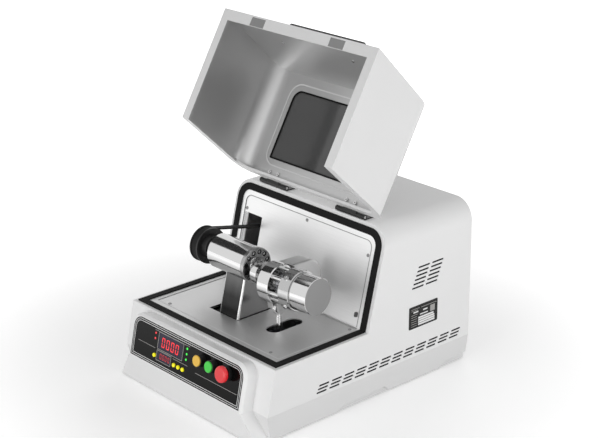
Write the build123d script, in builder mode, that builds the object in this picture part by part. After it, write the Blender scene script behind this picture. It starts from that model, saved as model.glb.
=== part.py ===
from build123d import *
import math
import os

os.makedirs("parts", exist_ok=True)

# Vibratory ball mill, millimetres. X runs left to right, Y front to back, Z up from the bench.
# The origin is on the bench, under the middle of the whole machine.

# Cabinet
deck_height = 175.0
gasket_half = 250.0
gasket_width = 17.0
gasket_thick = 3.0
ledge = 9.0
deck_depth = 271.0
bulkhead_lean = 14.0
front_lean = 12.5
tower_rise = 238.0
tower_depth = 611.0
tower_round = 50.0
frame_round = 41.0
housing_wall = 3.0
kink_height = 68.0
skirt_bottom = 3.0
skirt_wall = 3.0
skirt_side_draw = 8.0
skirt_front_draw = 13.0
arch_start = 184.0
arch_length = 166.0
arch_rise = 16.0
arch_slope = 20.0
rear_notch_start = 518.0
frame_band = 12.0
plate_gap = 1.0
plate_thick = 3.0
plate_sink = 0.5
lip_width = 12.0
lip_thick = 3.0
lip_hold = 8.0

# Front fascia and control panel
panel_out = 34.0
panel_half = 199.0
panel_high = 98.0
panel_top = 12.3
panel_round = 26.0
panel_thick = 3.0
panel_rest = 6.0
fascia_margin = 8.0
fascia_bevel = 6.0
fascia_wall = 3.0
fascia_round = 32.0
chin_foot_in = 9.0
chin_recede = 10.0

# Lid
lid_open = 120.0
lid_front_lean = 16.0
lid_wall = 5.0
lid_seat_gap = 0.3
lid_rim_thick = 6.0
lid_rim_side = 24.0
lid_rim_front = 26.0
lid_rim_top = 18.0
lid_edge_round = 8.0
window_half = 170.0
window_front = 100.0
window_behind = 93.0
window_round = 26.0
window_seal_width = 4.0
window_seal_thick = 8.0
window_glass_thick = 4.0

# Hinges
hinge_rise = 7.0
hinge_behind = 3.0
hinge_centre = 134.5
hinge_long = 94.0
hinge_barrel = 6.0
hinge_pin_radius = 3.0
hinge_leaf_thick = 3.0
hinge_leaf_long = 37.0
hinge_end_knuckle = 24.0
hinge_gap = 0.5
hinge_bolt_back = 20.0
hinge_bolt_pitch = 29.0
running_gap = 0.05

# Drive line
axis_back = 150.0
axis_rise = 127.0
housing_radius = 42.0
housing_left = -119.0
housing_right = 4.0
bearing_radius = 31.0
bearing_long = 18.0
shaft_radius = 15.0
shaft_left = -187.0
cover_thick = 10.0
cover_bolts = 12
cover_pitch_radius = 33.0
pulley_left = -182.0
pulley_flange = 4.5
pulley_flange_radius = 44.0
pulley_groove_wide = 20.0
belt_radius = 38.0
belt_thick = 4.0
belt_gap = 0.3
motor_back = 440.0
motor_rise = 79.0
motor_pulley_radius = 22.0
motor_radius = 68.0
motor_long = 190.0
motor_shaft_radius = 11.0

# Eccentric, slightly inclined journal and what it carries
crank_at = 88.0
crank_back = -5.2
crank_down = 17.3
journal_back_slope = 0.07
journal_rise_slope = 0.02
journal_radius = 11.0
web_left = 26.0
web_thick = 20.0
web_radius = 28.0
hub_radius = 48.0
hub_half = 17.0
hub_bearing_radius = 24.0
cage_long = 31.0
strut_radius = 5.0
strut_circle = 37.0
strut_count = 6
ring_radius = 48.0
ring_long = 33.0
ring_back_wall = 7.0
vial_radius = 43.5
vial_long = 50.0
vial_wall = 6.0
vial_gap = 0.3
vial_cap_thick = 16.0
ring_chamfer = 3.0
ball_radius = 6.0

# Restraining link
link_drop = 64.0
link_along = 4.0
link_ball_radius = 8.0
link_ball_half = 6.2
link_pin_radius = 4.0
link_eye_radius = 13.0
link_eye_half = 4.5
link_rod_radius = 5.0
link_length = 96.0
link_ear_gap = 6.6
link_ear_thick = 4.0
slot_x = 94.0
slot_back = 162.0
slot_long = 99.0
slot_wide = 39.0

# Post and its cut-out in the deck
post_left = -68.0
post_right = 0.0
post_half_deep = 49.0
post_taper = 0.24
post_round = 4.5
cutout_left = -102.0
cutout_right = 3.0
cutout_margin = 2.0

# Places worked out from the sizes
estop_reach = 78.5
rear_reach = tower_depth + 2.5
front_y = -(rear_reach - estop_reach) / 2
half_width = gasket_half + ledge
chin_foot_half = half_width - chin_foot_in
window_long = deck_depth - window_behind
housing_front = front_y - ledge
bulkhead_foot = front_y + deck_depth
tower_top = deck_height + tower_rise
tower_rear = front_y + tower_depth
lean = math.radians(bulkhead_lean)
front_tan = math.tan(math.radians(front_lean))
bulk_tan = math.tan(lean)
kink_drop = deck_height - kink_height
kink_front = housing_front - kink_drop * front_tan
skirt_front = kink_front + skirt_front_draw
axis_y = front_y + axis_back
axis_z = deck_height + axis_rise
axis_origin = (0, axis_y, axis_z)
opening_half = gasket_half - gasket_width - frame_band
opening_front = front_y + gasket_width + ledge * 2

front_face = Plane(
    origin=(0, housing_front, deck_height),
    x_dir=(1, 0, 0),
    z_dir=(0, -math.cos(math.radians(front_lean)), math.sin(math.radians(front_lean))),
)
panel_face = front_face.offset(panel_out)
bulk_face = Plane(
    origin=(0, bulkhead_foot, deck_height),
    x_dir=(1, 0, 0),
    z_dir=(0, -math.cos(lean), math.sin(lean)),
)


def bulkhead_y(z):
    """Y of the leaning bulkhead frame at height z."""
    return bulkhead_foot + (z - deck_height) * bulk_tan


def save(piece, name):
    piece.label = name
    export_step(piece, f"parts/{name}.step")


# Main housing: a low front deck and a tall tower with rounded shoulders


def housing_block(inset, drop):
    low = kink_height - drop
    with BuildPart() as block:
        with BuildSketch(Plane.YZ):
            with BuildLine():
                Polyline(
                    (housing_front - (deck_height - low) * front_tan, low),
                    (housing_front, deck_height),
                    (bulkhead_foot, deck_height),
                    (bulkhead_y(tower_top), tower_top),
                    (tower_rear, tower_top),
                    (tower_rear, low),
                    close=True,
                )
            make_face()
            if inset > 0:
                offset(amount=-inset, kind=Kind.INTERSECTION, mode=Mode.REPLACE)
        extrude(amount=half_width - inset, both=True)
        fillet(block.edges().filter_by(Axis.Y).group_by(Axis.Z)[-1], tower_round - inset)
    return block.part


bulk_opening_high = (tower_rise - ledge) / math.cos(lean) - gasket_width - frame_band
window_left = -gasket_half + gasket_width + frame_band + 4
window_right = -154.0
window_low = 52.0
window_high = 163.0
slot_thick = 4.4
lower_vent_start = 115.5
lower_vent_pitch = 39.15
lower_vent_count = 12
lower_vent_rows = 3
lower_vent_row_pitch = 8.0
lower_vent_long = 31.0
lower_vent_top = 94.4
vent_slant = 4.0
upper_vent_start = 431.6
upper_vent_column_pitch = 45.6
upper_vent_rows = 6
upper_vent_row_pitch = 9.7
upper_vent_long = 38.5
upper_vent_top = deck_height + 117.4
rear_open_half = 200.0
rear_open_low = 100.0
rear_open_high = tower_top - 60

rear_margin = 14.0
rear_thick = 1.5
rear_half = rear_open_half + rear_margin
rear_mid = (rear_open_low + rear_open_high) / 2
rear_high = rear_open_high - rear_open_low + 2 * rear_margin
rear_screw_spots = [
    (side * (rear_half - 7), rear_mid + level * (rear_high / 2 - 7))
    for side in (-1, 1)
    for level in (-1, 0, 1)
]
deck_plate_half = opening_half - plate_gap
deck_plate_front = opening_front + plate_gap
deck_plate_rear = bulkhead_foot - plate_gap
deck_screw_spots = [
    (side * x, front_y + y)
    for side in (-1, 1)
    for x, y in ((deck_plate_half - 37, 43.5), (deck_plate_half - 6.5, deck_depth - 15.0))
]
bulk_screw_spots = [(-deck_plate_half + 7, 172.0), (0, 198.0), (deck_plate_half - 7, 172.0)]
screw_radius = 2.0
screw_head = 4.0
screw_head_high = 1.6
screw_long = 8.0


def vent_places(first_back, top, rows, row_pitch, columns, column_pitch, long):
    """Centres of slanted rows of slots, as (y, z) on a side wall."""
    return [
        (front_y + first_back + long / 2 + column * column_pitch - row * vent_slant, top - row * row_pitch)
        for column in range(columns)
        for row in range(rows)
    ]


lower_vents = vent_places(
    lower_vent_start + vent_slant,
    lower_vent_top,
    lower_vent_rows,
    lower_vent_row_pitch,
    lower_vent_count,
    lower_vent_pitch,
    lower_vent_long,
)
upper_vents = vent_places(
    upper_vent_start,
    upper_vent_top,
    upper_vent_rows,
    upper_vent_row_pitch,
    2,
    upper_vent_column_pitch,
    upper_vent_long,
)

with BuildPart() as main_housing:
    add(housing_block(0, 0))
    add(housing_block(housing_wall, 30), mode=Mode.SUBTRACT)
    # lips that carry the deck plate and the bulkhead panel
    with BuildSketch(Plane.XY.offset(deck_height - plate_sink - plate_thick - lip_thick)):
        with Locations((0, (opening_front + bulkhead_foot) / 2)):
            Rectangle(2 * (opening_half + lip_hold), bulkhead_foot - opening_front + 2 * lip_hold)
            Rectangle(
                2 * (opening_half - lip_width),
                bulkhead_foot - opening_front - 2 * lip_width,
                mode=Mode.SUBTRACT,
            )
    extrude(amount=lip_thick + plate_sink)
    with BuildSketch(bulk_face.offset(-plate_sink - plate_thick - lip_thick)):
        with Locations((0, lip_hold)):
            Rectangle(
                2 * (opening_half + lip_hold),
                bulk_opening_high,
                align=(Align.CENTER, Align.MIN),
            )
            Rectangle(
                2 * (opening_half - lip_width),
                bulk_opening_high - lip_width - lip_hold,
                align=(Align.CENTER, Align.MIN),
                mode=Mode.SUBTRACT,
            )
    extrude(amount=lip_thick + plate_sink)
    # the deck opening and the bulkhead opening above the lips
    with BuildSketch(Plane.XY.offset(deck_height - plate_sink - plate_thick)):
        with Locations((0, opening_front)):
            Rectangle(
                2 * opening_half, bulkhead_foot - opening_front, align=(Align.CENTER, Align.MIN)
            )
    extrude(amount=plate_thick + plate_sink + gasket_thick, mode=Mode.SUBTRACT)
    with BuildSketch(bulk_face.offset(-plate_sink - plate_thick)) as bulk_hole:
        Rectangle(2 * opening_half, bulk_opening_high, align=(Align.CENTER, Align.MIN))
        fillet(bulk_hole.vertices().group_by(Axis.Y)[-1], frame_round - gasket_width - 4)
    extrude(amount=plate_thick + plate_sink + gasket_thick, mode=Mode.SUBTRACT)
    # holes for the plate screws in the lips
    with BuildSketch(Plane.XY.offset(deck_height - 20)):
        with Locations(*deck_screw_spots):
            Circle(screw_radius)
    extrude(amount=20, mode=Mode.SUBTRACT)
    with BuildSketch(bulk_face.offset(-20)):
        with Locations(*bulk_screw_spots):
            Circle(screw_radius)
    extrude(amount=20, mode=Mode.SUBTRACT)
    with BuildSketch(Plane(origin=(0, tower_rear - 10, 0), x_dir=(-1, 0, 0), z_dir=(0, 1, 0))):
        with Locations(*rear_screw_spots):
            Circle(screw_radius)
    extrude(amount=11, mode=Mode.SUBTRACT)
    # cooling slots through both side walls
    with BuildSketch(Plane.YZ.offset(-half_width - 1)):
        with Locations(*lower_vents):
            SlotOverall(lower_vent_long, slot_thick)
        with Locations(*upper_vents):
            SlotOverall(upper_vent_long, slot_thick)
    extrude(amount=2 * half_width + 2, mode=Mode.SUBTRACT)
    # service opening at the rear and the cable opening behind the fascia
    with BuildSketch(Plane.XZ.offset(-tower_rear - 1)):
        with Locations((0, (rear_open_low + rear_open_high) / 2)):
            RectangleRounded(2 * rear_open_half, rear_open_high - rear_open_low, 10)
    extrude(amount=housing_wall + 2, mode=Mode.SUBTRACT)
    with BuildSketch(front_face.offset(1)):
        with Locations((0, -kink_drop / 2)):
            RectangleRounded(2 * panel_half - 80, kink_drop - 50, 6)
    extrude(amount=-housing_wall - 3, mode=Mode.SUBTRACT)
save(main_housing.part, "main_housing")

# Base skirt: the lower tray wall that tapers in below the kink, with a low arch on each side


def skirt_block(inset, low, high):
    """Solid between heights low and high, drawn in by inset on every side."""

    def half_at(z):
        return half_width - skirt_side_draw * (kink_height - z) / (kink_height - skirt_bottom) - inset

    def front_at(z):
        fall = (kink_height - z) / (kink_height - skirt_bottom)
        return kink_front + skirt_front_draw * fall + inset

    with BuildPart() as block:
        for z in (low, high):
            with BuildSketch(Plane.XY.offset(z)):
                with Locations((0, front_at(z))):
                    Rectangle(
                        2 * half_at(z),
                        tower_rear - inset - front_at(z),
                        align=(Align.CENTER, Align.MIN),
                    )
        loft(ruled=True)
    return block.part


with BuildPart() as base_skirt:
    add(skirt_block(0, skirt_bottom, kink_height))
    add(skirt_block(skirt_wall, skirt_bottom - 10, kink_height + 10), mode=Mode.SUBTRACT)
    with BuildSketch(Plane.YZ.offset(-half_width)):
        with BuildLine():
            Polyline(
                (front_y + arch_start, skirt_bottom - 1),
                (front_y + arch_start + arch_slope, skirt_bottom + arch_rise),
                (front_y + arch_start + arch_length - arch_slope, skirt_bottom + arch_rise),
                (front_y + arch_start + arch_length, skirt_bottom - 1),
                close=True,
            )
        make_face()
        with BuildLine():
            Polyline(
                (front_y + rear_notch_start, skirt_bottom - 1),
                (front_y + rear_notch_start + arch_slope, skirt_bottom + arch_rise),
                (tower_rear + 1, skirt_bottom + arch_rise),
                (tower_rear + 1, skirt_bottom - 1),
                close=True,
            )
        make_face()
    extrude(amount=2 * half_width, mode=Mode.SUBTRACT)
save(base_skirt.part, "base_skirt")

# Base plate, feet and their screws
base_plate_low = 6.0
base_plate_thick = 3.0
base_top = base_plate_low + base_plate_thick
base_half = half_width - skirt_side_draw - skirt_wall + 0.2
base_front = skirt_front + skirt_wall + 0.4
base_rear = tower_rear - skirt_wall - 0.2
pan_clearance = 0.5
pan_high = 30.0
pan_half = base_half - pan_clearance
pan_rear = base_rear - pan_clearance
foot_radius = 17.0
foot_in = 40.0
foot_spots = [
    (side * (base_half - foot_in), y)
    for side in (-1, 1)
    for y in (base_front + foot_in, base_rear - foot_in)
]
foot_peg_radius = 3.0

with BuildPart() as base_plate:
    with BuildSketch(Plane.XY.offset(base_plate_low)):
        with Locations((0, base_front)):
            Rectangle(2 * base_half, base_rear - base_front, align=(Align.CENTER, Align.MIN))
        with Locations(*foot_spots):
            Circle(foot_peg_radius, mode=Mode.SUBTRACT)
    extrude(amount=base_plate_thick)
    # upturned edge on both sides and at the rear, seen through the arches
    with BuildSketch(Plane.XY.offset(skirt_bottom)):
        with Locations((0, base_front)):
            Rectangle(2 * pan_half, pan_rear - base_front, align=(Align.CENTER, Align.MIN))
            Rectangle(
                2 * (pan_half - base_plate_thick),
                pan_rear - base_front - base_plate_thick,
                align=(Align.CENTER, Align.MIN),
                mode=Mode.SUBTRACT,
            )
    extrude(amount=pan_high)
save(base_plate.part, "base_plate")

with BuildPart() as rubber_feet:
    with Locations(*[(x, y, 0) for x, y in foot_spots]):
        Cylinder(foot_radius, base_plate_low, align=(Align.CENTER, Align.CENTER, Align.MIN))
    chamfer(rubber_feet.edges().group_by(Axis.Z)[0], 1.5)
    with Locations(*[(x, y, 0) for x, y in foot_spots]):
        Cylinder(foot_peg_radius, base_top + 1, align=(Align.CENTER, Align.CENTER, Align.MIN))
save(rubber_feet.part, "rubber_feet")

# Front fascia: a raised bezel above the kink and a chin that spreads to the full width below it


def fascia_block(inset, face_back):
    """Outer form of the fascia, drawn in by inset, its face set back by face_back."""
    with BuildPart() as block:
        with BuildSketch(front_face) as outline:
            with Locations((0, -panel_top + fascia_margin - inset)):
                Rectangle(
                    2 * (panel_half + fascia_margin - inset),
                    kink_drop * 1.3,
                    align=(Align.CENTER, Align.MAX),
                )
            fillet(outline.vertices().group_by(Axis.Y)[-1], fascia_round - inset)
        extrude(amount=panel_out - fascia_bevel)
        with BuildSketch(front_face.offset(panel_out - fascia_bevel)) as outline:
            with Locations((0, -panel_top + fascia_margin - inset)):
                Rectangle(
                    2 * (panel_half + fascia_margin - inset),
                    kink_drop * 1.3,
                    align=(Align.CENTER, Align.MAX),
                )
            fillet(outline.vertices().group_by(Axis.Y)[-1], fascia_round - inset)
        extrude(amount=fascia_bevel - face_back, taper=45)
        split(bisect_by=Plane.XY.offset(kink_height), keep=Keep.TOP)
        face_y = kink_front - panel_out / math.cos(math.radians(front_lean)) + face_back
        foot_y = face_y + chin_recede
        kink_half = panel_half + fascia_margin - inset
        low = skirt_bottom - (10 if inset > 0 else 0)
        stretch = (kink_height - low) / (kink_height - skirt_bottom)
        with BuildSketch(Plane.XY.offset(kink_height)):
            with Locations((0, face_y)):
                Rectangle(2 * kink_half, kink_front - face_y, align=(Align.CENTER, Align.MIN))
        with BuildSketch(Plane.XY.offset(low)):
            with Locations((0, face_y + (foot_y - face_y) * stretch)):
                Rectangle(
                    2 * (kink_half + (chin_foot_half - panel_half - fascia_margin) * stretch),
                    kink_front - face_y + (skirt_front_draw - chin_recede) * stretch,
                    align=(Align.CENTER, Align.MIN),
                )
        loft(ruled=True)
    return block.part


with BuildPart() as front_fascia:
    add(fascia_block(0, 0))
    add(fascia_block(fascia_wall, fascia_wall), mode=Mode.SUBTRACT)
    with BuildSketch(panel_face) as recess:
        with Locations((0, -panel_top)):
            Rectangle(2 * panel_half, panel_high, align=(Align.CENTER, Align.MAX))
        fillet(recess.vertices().group_by(Axis.Y)[-1], panel_round)
    extrude(amount=-fascia_wall - 1, mode=Mode.SUBTRACT)
    with BuildSketch(panel_face.offset(-panel_thick - 2)) as rest:
        with Locations((0, -panel_top + 1)):
            Rectangle(2 * panel_half + 2, panel_high + 2, align=(Align.CENTER, Align.MAX))
        fillet(rest.vertices().group_by(Axis.Y)[-1], panel_round)
        with Locations((0, -panel_top - panel_rest)):
            Rectangle(
                2 * (panel_half - panel_rest),
                panel_high - 2 * panel_rest,
                align=(Align.CENTER, Align.MAX),
                mode=Mode.SUBTRACT,
            )
    extrude(amount=2)
save(front_fascia.part, "front_fascia")

# Control panel items, as places on the panel face: x across, v up the slope (negative is down)
panel_fall = panel_out * math.tan(math.radians(front_lean))


def on_panel(x, down):
    """Place on the panel face, down being the distance below the deck's level along the slope."""
    return (x, -down - panel_fall)


display_places = [
    (on_panel(-57.5, 38.8), 90.0, 38.5),
    (on_panel(-76.5, 74.2), 51.0, 22.0),
]
key_places = [on_panel(x, 77.2) for x in (-110.1, -36.4, -20.3, -4.0)]
led_places = [on_panel(-115.3, down) for down in (25.0, 38.0)]
led_places += [on_panel(2.2, down) for down in (25.0, 38.0, 51.0)]
button_row = 34.0
pause_place = on_panel(56.5, button_row)
start_place = on_panel(98.5, button_row)
estop_place = on_panel(panel_half - 52.0, button_row)
key_radius = 4.8
key_gap = 0.3
key_proud = 3.6
key_dome = 1.8
led_radius = 2.6
collar_radius = 15.0
collar_high = 15.0
button_radius = 12.7
button_gap = 0.3
button_high = 18.0
button_floor = 1.5
stem_deep = 14.0
button_stem = 4.0
button_travel = 4.0
barrel_radius = 11.0
barrel_deep = 20.0

with BuildPart() as control_panel:
    with BuildSketch(panel_face.offset(-panel_thick)) as outline:
        with Locations((0, -panel_top)):
            Rectangle(2 * panel_half, panel_high, align=(Align.CENTER, Align.MAX))
        fillet(outline.vertices().group_by(Axis.Y)[-1], panel_round)
        for place, wide, high in display_places:
            with Locations(place):
                Rectangle(wide, high, mode=Mode.SUBTRACT)
        with Locations(*key_places):
            Circle(key_radius + key_gap, mode=Mode.SUBTRACT)
        with Locations(*led_places):
            Circle(led_radius, mode=Mode.SUBTRACT)
        with Locations(pause_place, start_place, estop_place):
            Circle(barrel_radius, mode=Mode.SUBTRACT)
    extrude(amount=panel_thick)
save(control_panel.part, "control_panel")

display_deep = 9.0
with BuildPart() as number_displays:
    for place, wide, high in display_places:
        with BuildSketch(panel_face.offset(-display_deep)):
            with Locations(place):
                Rectangle(wide, high)
        extrude(amount=display_deep + 0.4)
save(number_displays.part, "number_displays")

with BuildPart() as indicator_leds:
    with BuildSketch(panel_face.offset(-panel_thick - 2)):
        with Locations(*led_places):
            Circle(led_radius)
    extrude(amount=panel_thick + 3)
    fillet(indicator_leds.faces().sort_by(Axis.Y)[0:5].edges(), 0.8)
save(indicator_leds.part, "indicator_leds")

for name, place in zip(("key_set", "key_shift", "key_down", "key_up"), key_places):
    with BuildPart() as key_cap:
        with BuildSketch(panel_face.offset(-panel_thick)):
            with Locations(place):
                Circle(key_radius)
        extrude(amount=panel_thick + key_proud)
        fillet(key_cap.edges().sort_by(Axis.Y)[0], key_dome)
    save(key_cap.part, name)


def button_collar(place):
    """Black collar with its barrel through the panel, open at the front for the cap."""
    with BuildPart() as collar:
        with BuildSketch(panel_face):
            with Locations(place):
                Circle(collar_radius)
        extrude(amount=collar_high)
        fillet(collar.edges().sort_by(Axis.Y)[0], 1.5)
        with BuildSketch(panel_face.offset(-barrel_deep)):
            with Locations(place):
                Circle(barrel_radius)
        extrude(amount=barrel_deep)
        with BuildSketch(panel_face.offset(button_floor)):
            with Locations(place):
                Circle(button_radius + button_gap)
        extrude(amount=collar_high, mode=Mode.SUBTRACT)
        with BuildSketch(panel_face.offset(button_floor - stem_deep)):
            with Locations(place):
                Circle(button_stem + button_gap)
        extrude(amount=stem_deep, mode=Mode.SUBTRACT)
    return collar.part


def button_cap(place):
    """Round cap on a stem, standing proud of its collar."""
    with BuildPart() as cap:
        with BuildSketch(panel_face.offset(button_floor + button_travel + button_gap)):
            with Locations(place):
                Circle(button_radius)
        extrude(amount=button_high - button_floor - button_travel - button_gap)
        fillet(cap.edges().sort_by(Axis.Y)[0], 1.2)
        with BuildSketch(panel_face.offset(button_floor - stem_deep + button_travel + 1)):
            with Locations(place):
                Circle(button_stem)
        extrude(amount=stem_deep)
    return cap.part


save(button_cap(pause_place), "pause_button")
save(button_cap(start_place), "start_button")

estop_head_radius = 19.0
estop_head_base = 14.0
estop_head_high = 24.4
estop_plunger_radius = 9.0
estop_collar_high = 8.0
estop_travel = 5.0

with BuildPart() as stop_collar:
    with BuildSketch(panel_face):
        with Locations(estop_place):
            Circle(collar_radius + 1)
    extrude(amount=estop_collar_high)
    fillet(stop_collar.edges().sort_by(Axis.Y)[0], 1.5)
    with BuildSketch(panel_face.offset(-barrel_deep)):
        with Locations(estop_place):
            Circle(barrel_radius)
    extrude(amount=barrel_deep)
    with BuildSketch(panel_face.offset(-barrel_deep + 4)):
        with Locations(estop_place):
            Circle(estop_plunger_radius + button_gap)
    extrude(amount=barrel_deep + estop_collar_high, mode=Mode.SUBTRACT)
with BuildPart() as button_collars:
    add(button_collar(pause_place))
    add(button_collar(start_place))
    add(stop_collar.part)
save(button_collars.part, "button_collars")

with BuildPart() as estop_plunger:
    with BuildSketch(panel_face.offset(-barrel_deep + 4 + estop_travel + button_gap)):
        with Locations(estop_place):
            Circle(estop_plunger_radius)
    extrude(amount=barrel_deep - 4 - estop_travel - button_gap + estop_head_base)
    with BuildSketch(panel_face.offset(estop_head_base)):
        with Locations(estop_place):
            Circle(5)
    extrude(amount=4)
save(estop_plunger.part, "estop_plunger")

with BuildPart() as estop_head:
    with BuildSketch(panel_face.offset(estop_head_base)):
        with Locations(estop_place):
            Circle(estop_head_radius)
    extrude(amount=estop_head_high - estop_head_base)
    fillet(estop_head.edges().sort_by(Axis.Y)[0], 5)
    fillet(estop_head.edges().sort_by(Axis.Y)[-1], 1.5)
    with BuildSketch(panel_face.offset(estop_head_base)):
        with Locations(estop_place):
            Circle(5 + running_gap)
    extrude(amount=4 + running_gap, mode=Mode.SUBTRACT)
save(estop_head.part, "estop_head")

# Deck plate and bulkhead panel with their screws


def screws_on(plane, spots):
    """Pan-head screws whose heads sit on the plane and whose shanks go down through it."""
    with BuildPart() as group:
        with BuildSketch(plane):
            with Locations(*spots):
                Circle(screw_head)
        extrude(amount=screw_head_high)
        fillet(group.edges().sort_by(Axis((0, 0, 0), plane.z_dir))[-len(spots) :], 0.8)
        with BuildSketch(plane.offset(-screw_long)):
            with Locations(*spots):
                Circle(screw_radius)
        extrude(amount=screw_long)
    return group.part


def bore_spots(spots):
    with Locations(*spots):
        Circle(screw_radius, mode=Mode.SUBTRACT)


deck_top = Plane.XY.offset(deck_height - plate_sink)
panel_top_face = bulk_face.offset(-plate_sink)
cutout_front = axis_y - post_half_deep - cutout_margin
cutout_rear = axis_y + post_half_deep + cutout_margin

with BuildPart() as deck_plate:
    with BuildSketch(deck_top.offset(-plate_thick)):
        with Locations((0, deck_plate_front)):
            Rectangle(2 * deck_plate_half, deck_plate_rear - deck_plate_front, align=(Align.CENTER, Align.MIN))
        with Locations(((cutout_left + cutout_right) / 2, (cutout_front + cutout_rear) / 2)):
            Rectangle(cutout_right - cutout_left, cutout_rear - cutout_front, mode=Mode.SUBTRACT)
        with Locations((slot_x, front_y + slot_back)):
            SlotOverall(slot_long, slot_wide, rotation=90, mode=Mode.SUBTRACT)
        bore_spots(deck_screw_spots)
    extrude(amount=plate_thick)
save(deck_plate.part, "deck_plate")

with BuildPart() as bulkhead_panel:
    with BuildSketch(panel_top_face.offset(-plate_thick)) as outline:
        with Locations((0, plate_gap)):
            Rectangle(
                2 * deck_plate_half,
                bulk_opening_high - 2 * plate_gap,
                align=(Align.CENTER, Align.MIN),
            )
        fillet(outline.vertices().group_by(Axis.Y)[-1], frame_round - gasket_width - 5)
        with Locations(((window_left + window_right) / 2, (window_low + window_high) / 2)):
            Rectangle(window_right - window_left, window_high - window_low, mode=Mode.SUBTRACT)
        bore_spots(bulk_screw_spots)
    extrude(amount=plate_thick)
save(bulkhead_panel.part, "bulkhead_panel")

with BuildPart() as interlock_sensor:
    with BuildSketch(panel_top_face):
        with Locations((deck_plate_half - 8, 31)):
            SlotOverall(12, 7, rotation=90)
    extrude(amount=5)
save(interlock_sensor.part, "interlock_sensor")

# Lid gasket: one flat run round the deck and one run up and over the bulkhead frame
gasket_high = (tower_rise - ledge) / math.cos(lean)
deck_seal_rear = bulkhead_foot - gasket_thick / math.cos(lean) - 0.1

with BuildPart() as deck_gasket:
    with BuildSketch(Plane.XY.offset(deck_height)):
        with Locations((0, front_y)):
            Rectangle(2 * gasket_half, deck_seal_rear - front_y, align=(Align.CENTER, Align.MIN))
        with Locations((0, front_y + gasket_width)):
            Rectangle(
                2 * (gasket_half - gasket_width),
                deck_seal_rear - front_y,
                align=(Align.CENTER, Align.MIN),
                mode=Mode.SUBTRACT,
            )
    extrude(amount=gasket_thick)

with BuildPart() as bulkhead_gasket:
    with BuildSketch(bulk_face) as outline:
        Rectangle(2 * gasket_half, gasket_high, align=(Align.CENTER, Align.MIN))
        fillet(outline.vertices().group_by(Axis.Y)[-1], frame_round)
    extrude(amount=gasket_thick)
    with BuildSketch(bulk_face) as inner:
        Rectangle(
            2 * (gasket_half - gasket_width), gasket_high - gasket_width, align=(Align.CENTER, Align.MIN)
        )
        fillet(inner.vertices().group_by(Axis.Y)[-1], frame_round - gasket_width)
    extrude(amount=gasket_thick, mode=Mode.SUBTRACT)
    split(bisect_by=Plane.XY.offset(deck_height + 0.1), keep=Keep.TOP)
with BuildPart() as lid_gasket:
    add(deck_gasket.part)
    add(bulkhead_gasket.part)
save(lid_gasket.part, "lid_gasket")

# Rear panel with its screws, power inlet and power switch
rear_plane = Plane(origin=(0, tower_rear, 0), x_dir=(-1, 0, 0), z_dir=(0, 1, 0))
inlet_place = (150.0, rear_open_low + 35)
inlet_wide = 30.0
inlet_high = 24.0
switch_wide = 22.0
switch_high = 30.0
switch_place = (inlet_place[0] - inlet_wide / 2 - switch_wide / 2, inlet_place[1])
module_wide = inlet_wide + switch_wide + 4
module_high = switch_high + 3
module_place = (inlet_place[0] - switch_wide / 2, inlet_place[1])
rear_vent_rows = 9
rear_vent_pitch = 12.0
rear_vent_spots = [(-60.0, rear_mid + (row - (rear_vent_rows - 1) / 2) * rear_vent_pitch) for row in range(rear_vent_rows)]

with BuildPart() as rear_panel:
    with BuildSketch(rear_plane):
        with Locations((0, rear_mid)):
            RectangleRounded(2 * rear_half, rear_high, 6)
        with Locations(module_place):
            Rectangle(module_wide, module_high, mode=Mode.SUBTRACT)
        with Locations(*rear_vent_spots):
            SlotOverall(130, 4, mode=Mode.SUBTRACT)
        bore_spots(rear_screw_spots)
    extrude(amount=rear_thick)
save(rear_panel.part, "rear_panel")

with BuildPart() as panel_screws:
    add(screws_on(deck_top, deck_screw_spots))
    add(screws_on(panel_top_face, bulk_screw_spots))
    add(screws_on(rear_plane.offset(rear_thick), rear_screw_spots))
save(panel_screws.part, "panel_screws")

rocker_axis_deep = 5.0
rocker_radius = 14.0
inlet_deep = 24.0
inlet_rim = 1.0
socket_deep = 16.0
switch_deep = rocker_axis_deep + rocker_radius

with BuildPart() as power_inlet:
    with BuildSketch(rear_plane.offset(rear_thick)):
        with Locations(module_place):
            RectangleRounded(module_wide + 14, module_high + 8, 3)
    extrude(amount=inlet_rim)
    with BuildSketch(rear_plane.offset(-inlet_deep)):
        with Locations(module_place):
            Rectangle(module_wide, module_high)
    extrude(amount=inlet_deep + rear_thick)
    with BuildSketch(rear_plane.offset(-socket_deep)):
        with Locations(inlet_place):
            Rectangle(inlet_wide - 6, inlet_high - 7)
    extrude(amount=socket_deep + rear_thick + inlet_rim, mode=Mode.SUBTRACT)
    with BuildSketch(rear_plane.offset(-switch_deep)):
        with Locations(switch_place):
            Rectangle(switch_wide - 4, switch_high - 1.4)
    extrude(amount=switch_deep + rear_thick + inlet_rim, mode=Mode.SUBTRACT)
    with BuildSketch(rear_plane.offset(-socket_deep - 1)):
        with Locations(*[(inlet_place[0] + x, inlet_place[1]) for x in (-7, 0, 7)]):
            Rectangle(2, 5)
    extrude(amount=socket_deep - 3)
save(power_inlet.part, "power_inlet")

# The rocker rests pressed to one side, turned about its own pin line
rocker_tilt = 8.0
rocker_y = tower_rear - rocker_axis_deep
rocker_z = switch_place[1]
rocker_wide = switch_wide - 4.6
rocker_face = 6.0
rocker_rest = Location((-switch_place[0], rocker_y, rocker_z), (-rocker_tilt, 0, 0))
with BuildPart() as power_rocker:
    with BuildSketch(Plane.YZ.offset(-rocker_wide / 2)):
        Circle(rocker_radius - 1.5)
        with Locations((0, 0)):
            Rectangle(
                2 * rocker_radius,
                2 * rocker_radius,
                align=(Align.MIN, Align.CENTER),
                mode=Mode.SUBTRACT,
            )
        Rectangle(rocker_face, 2 * rocker_radius - 3, align=(Align.MIN, Align.CENTER))
    extrude(amount=rocker_wide)
save(rocker_rest * power_rocker.part, "power_rocker")

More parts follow.
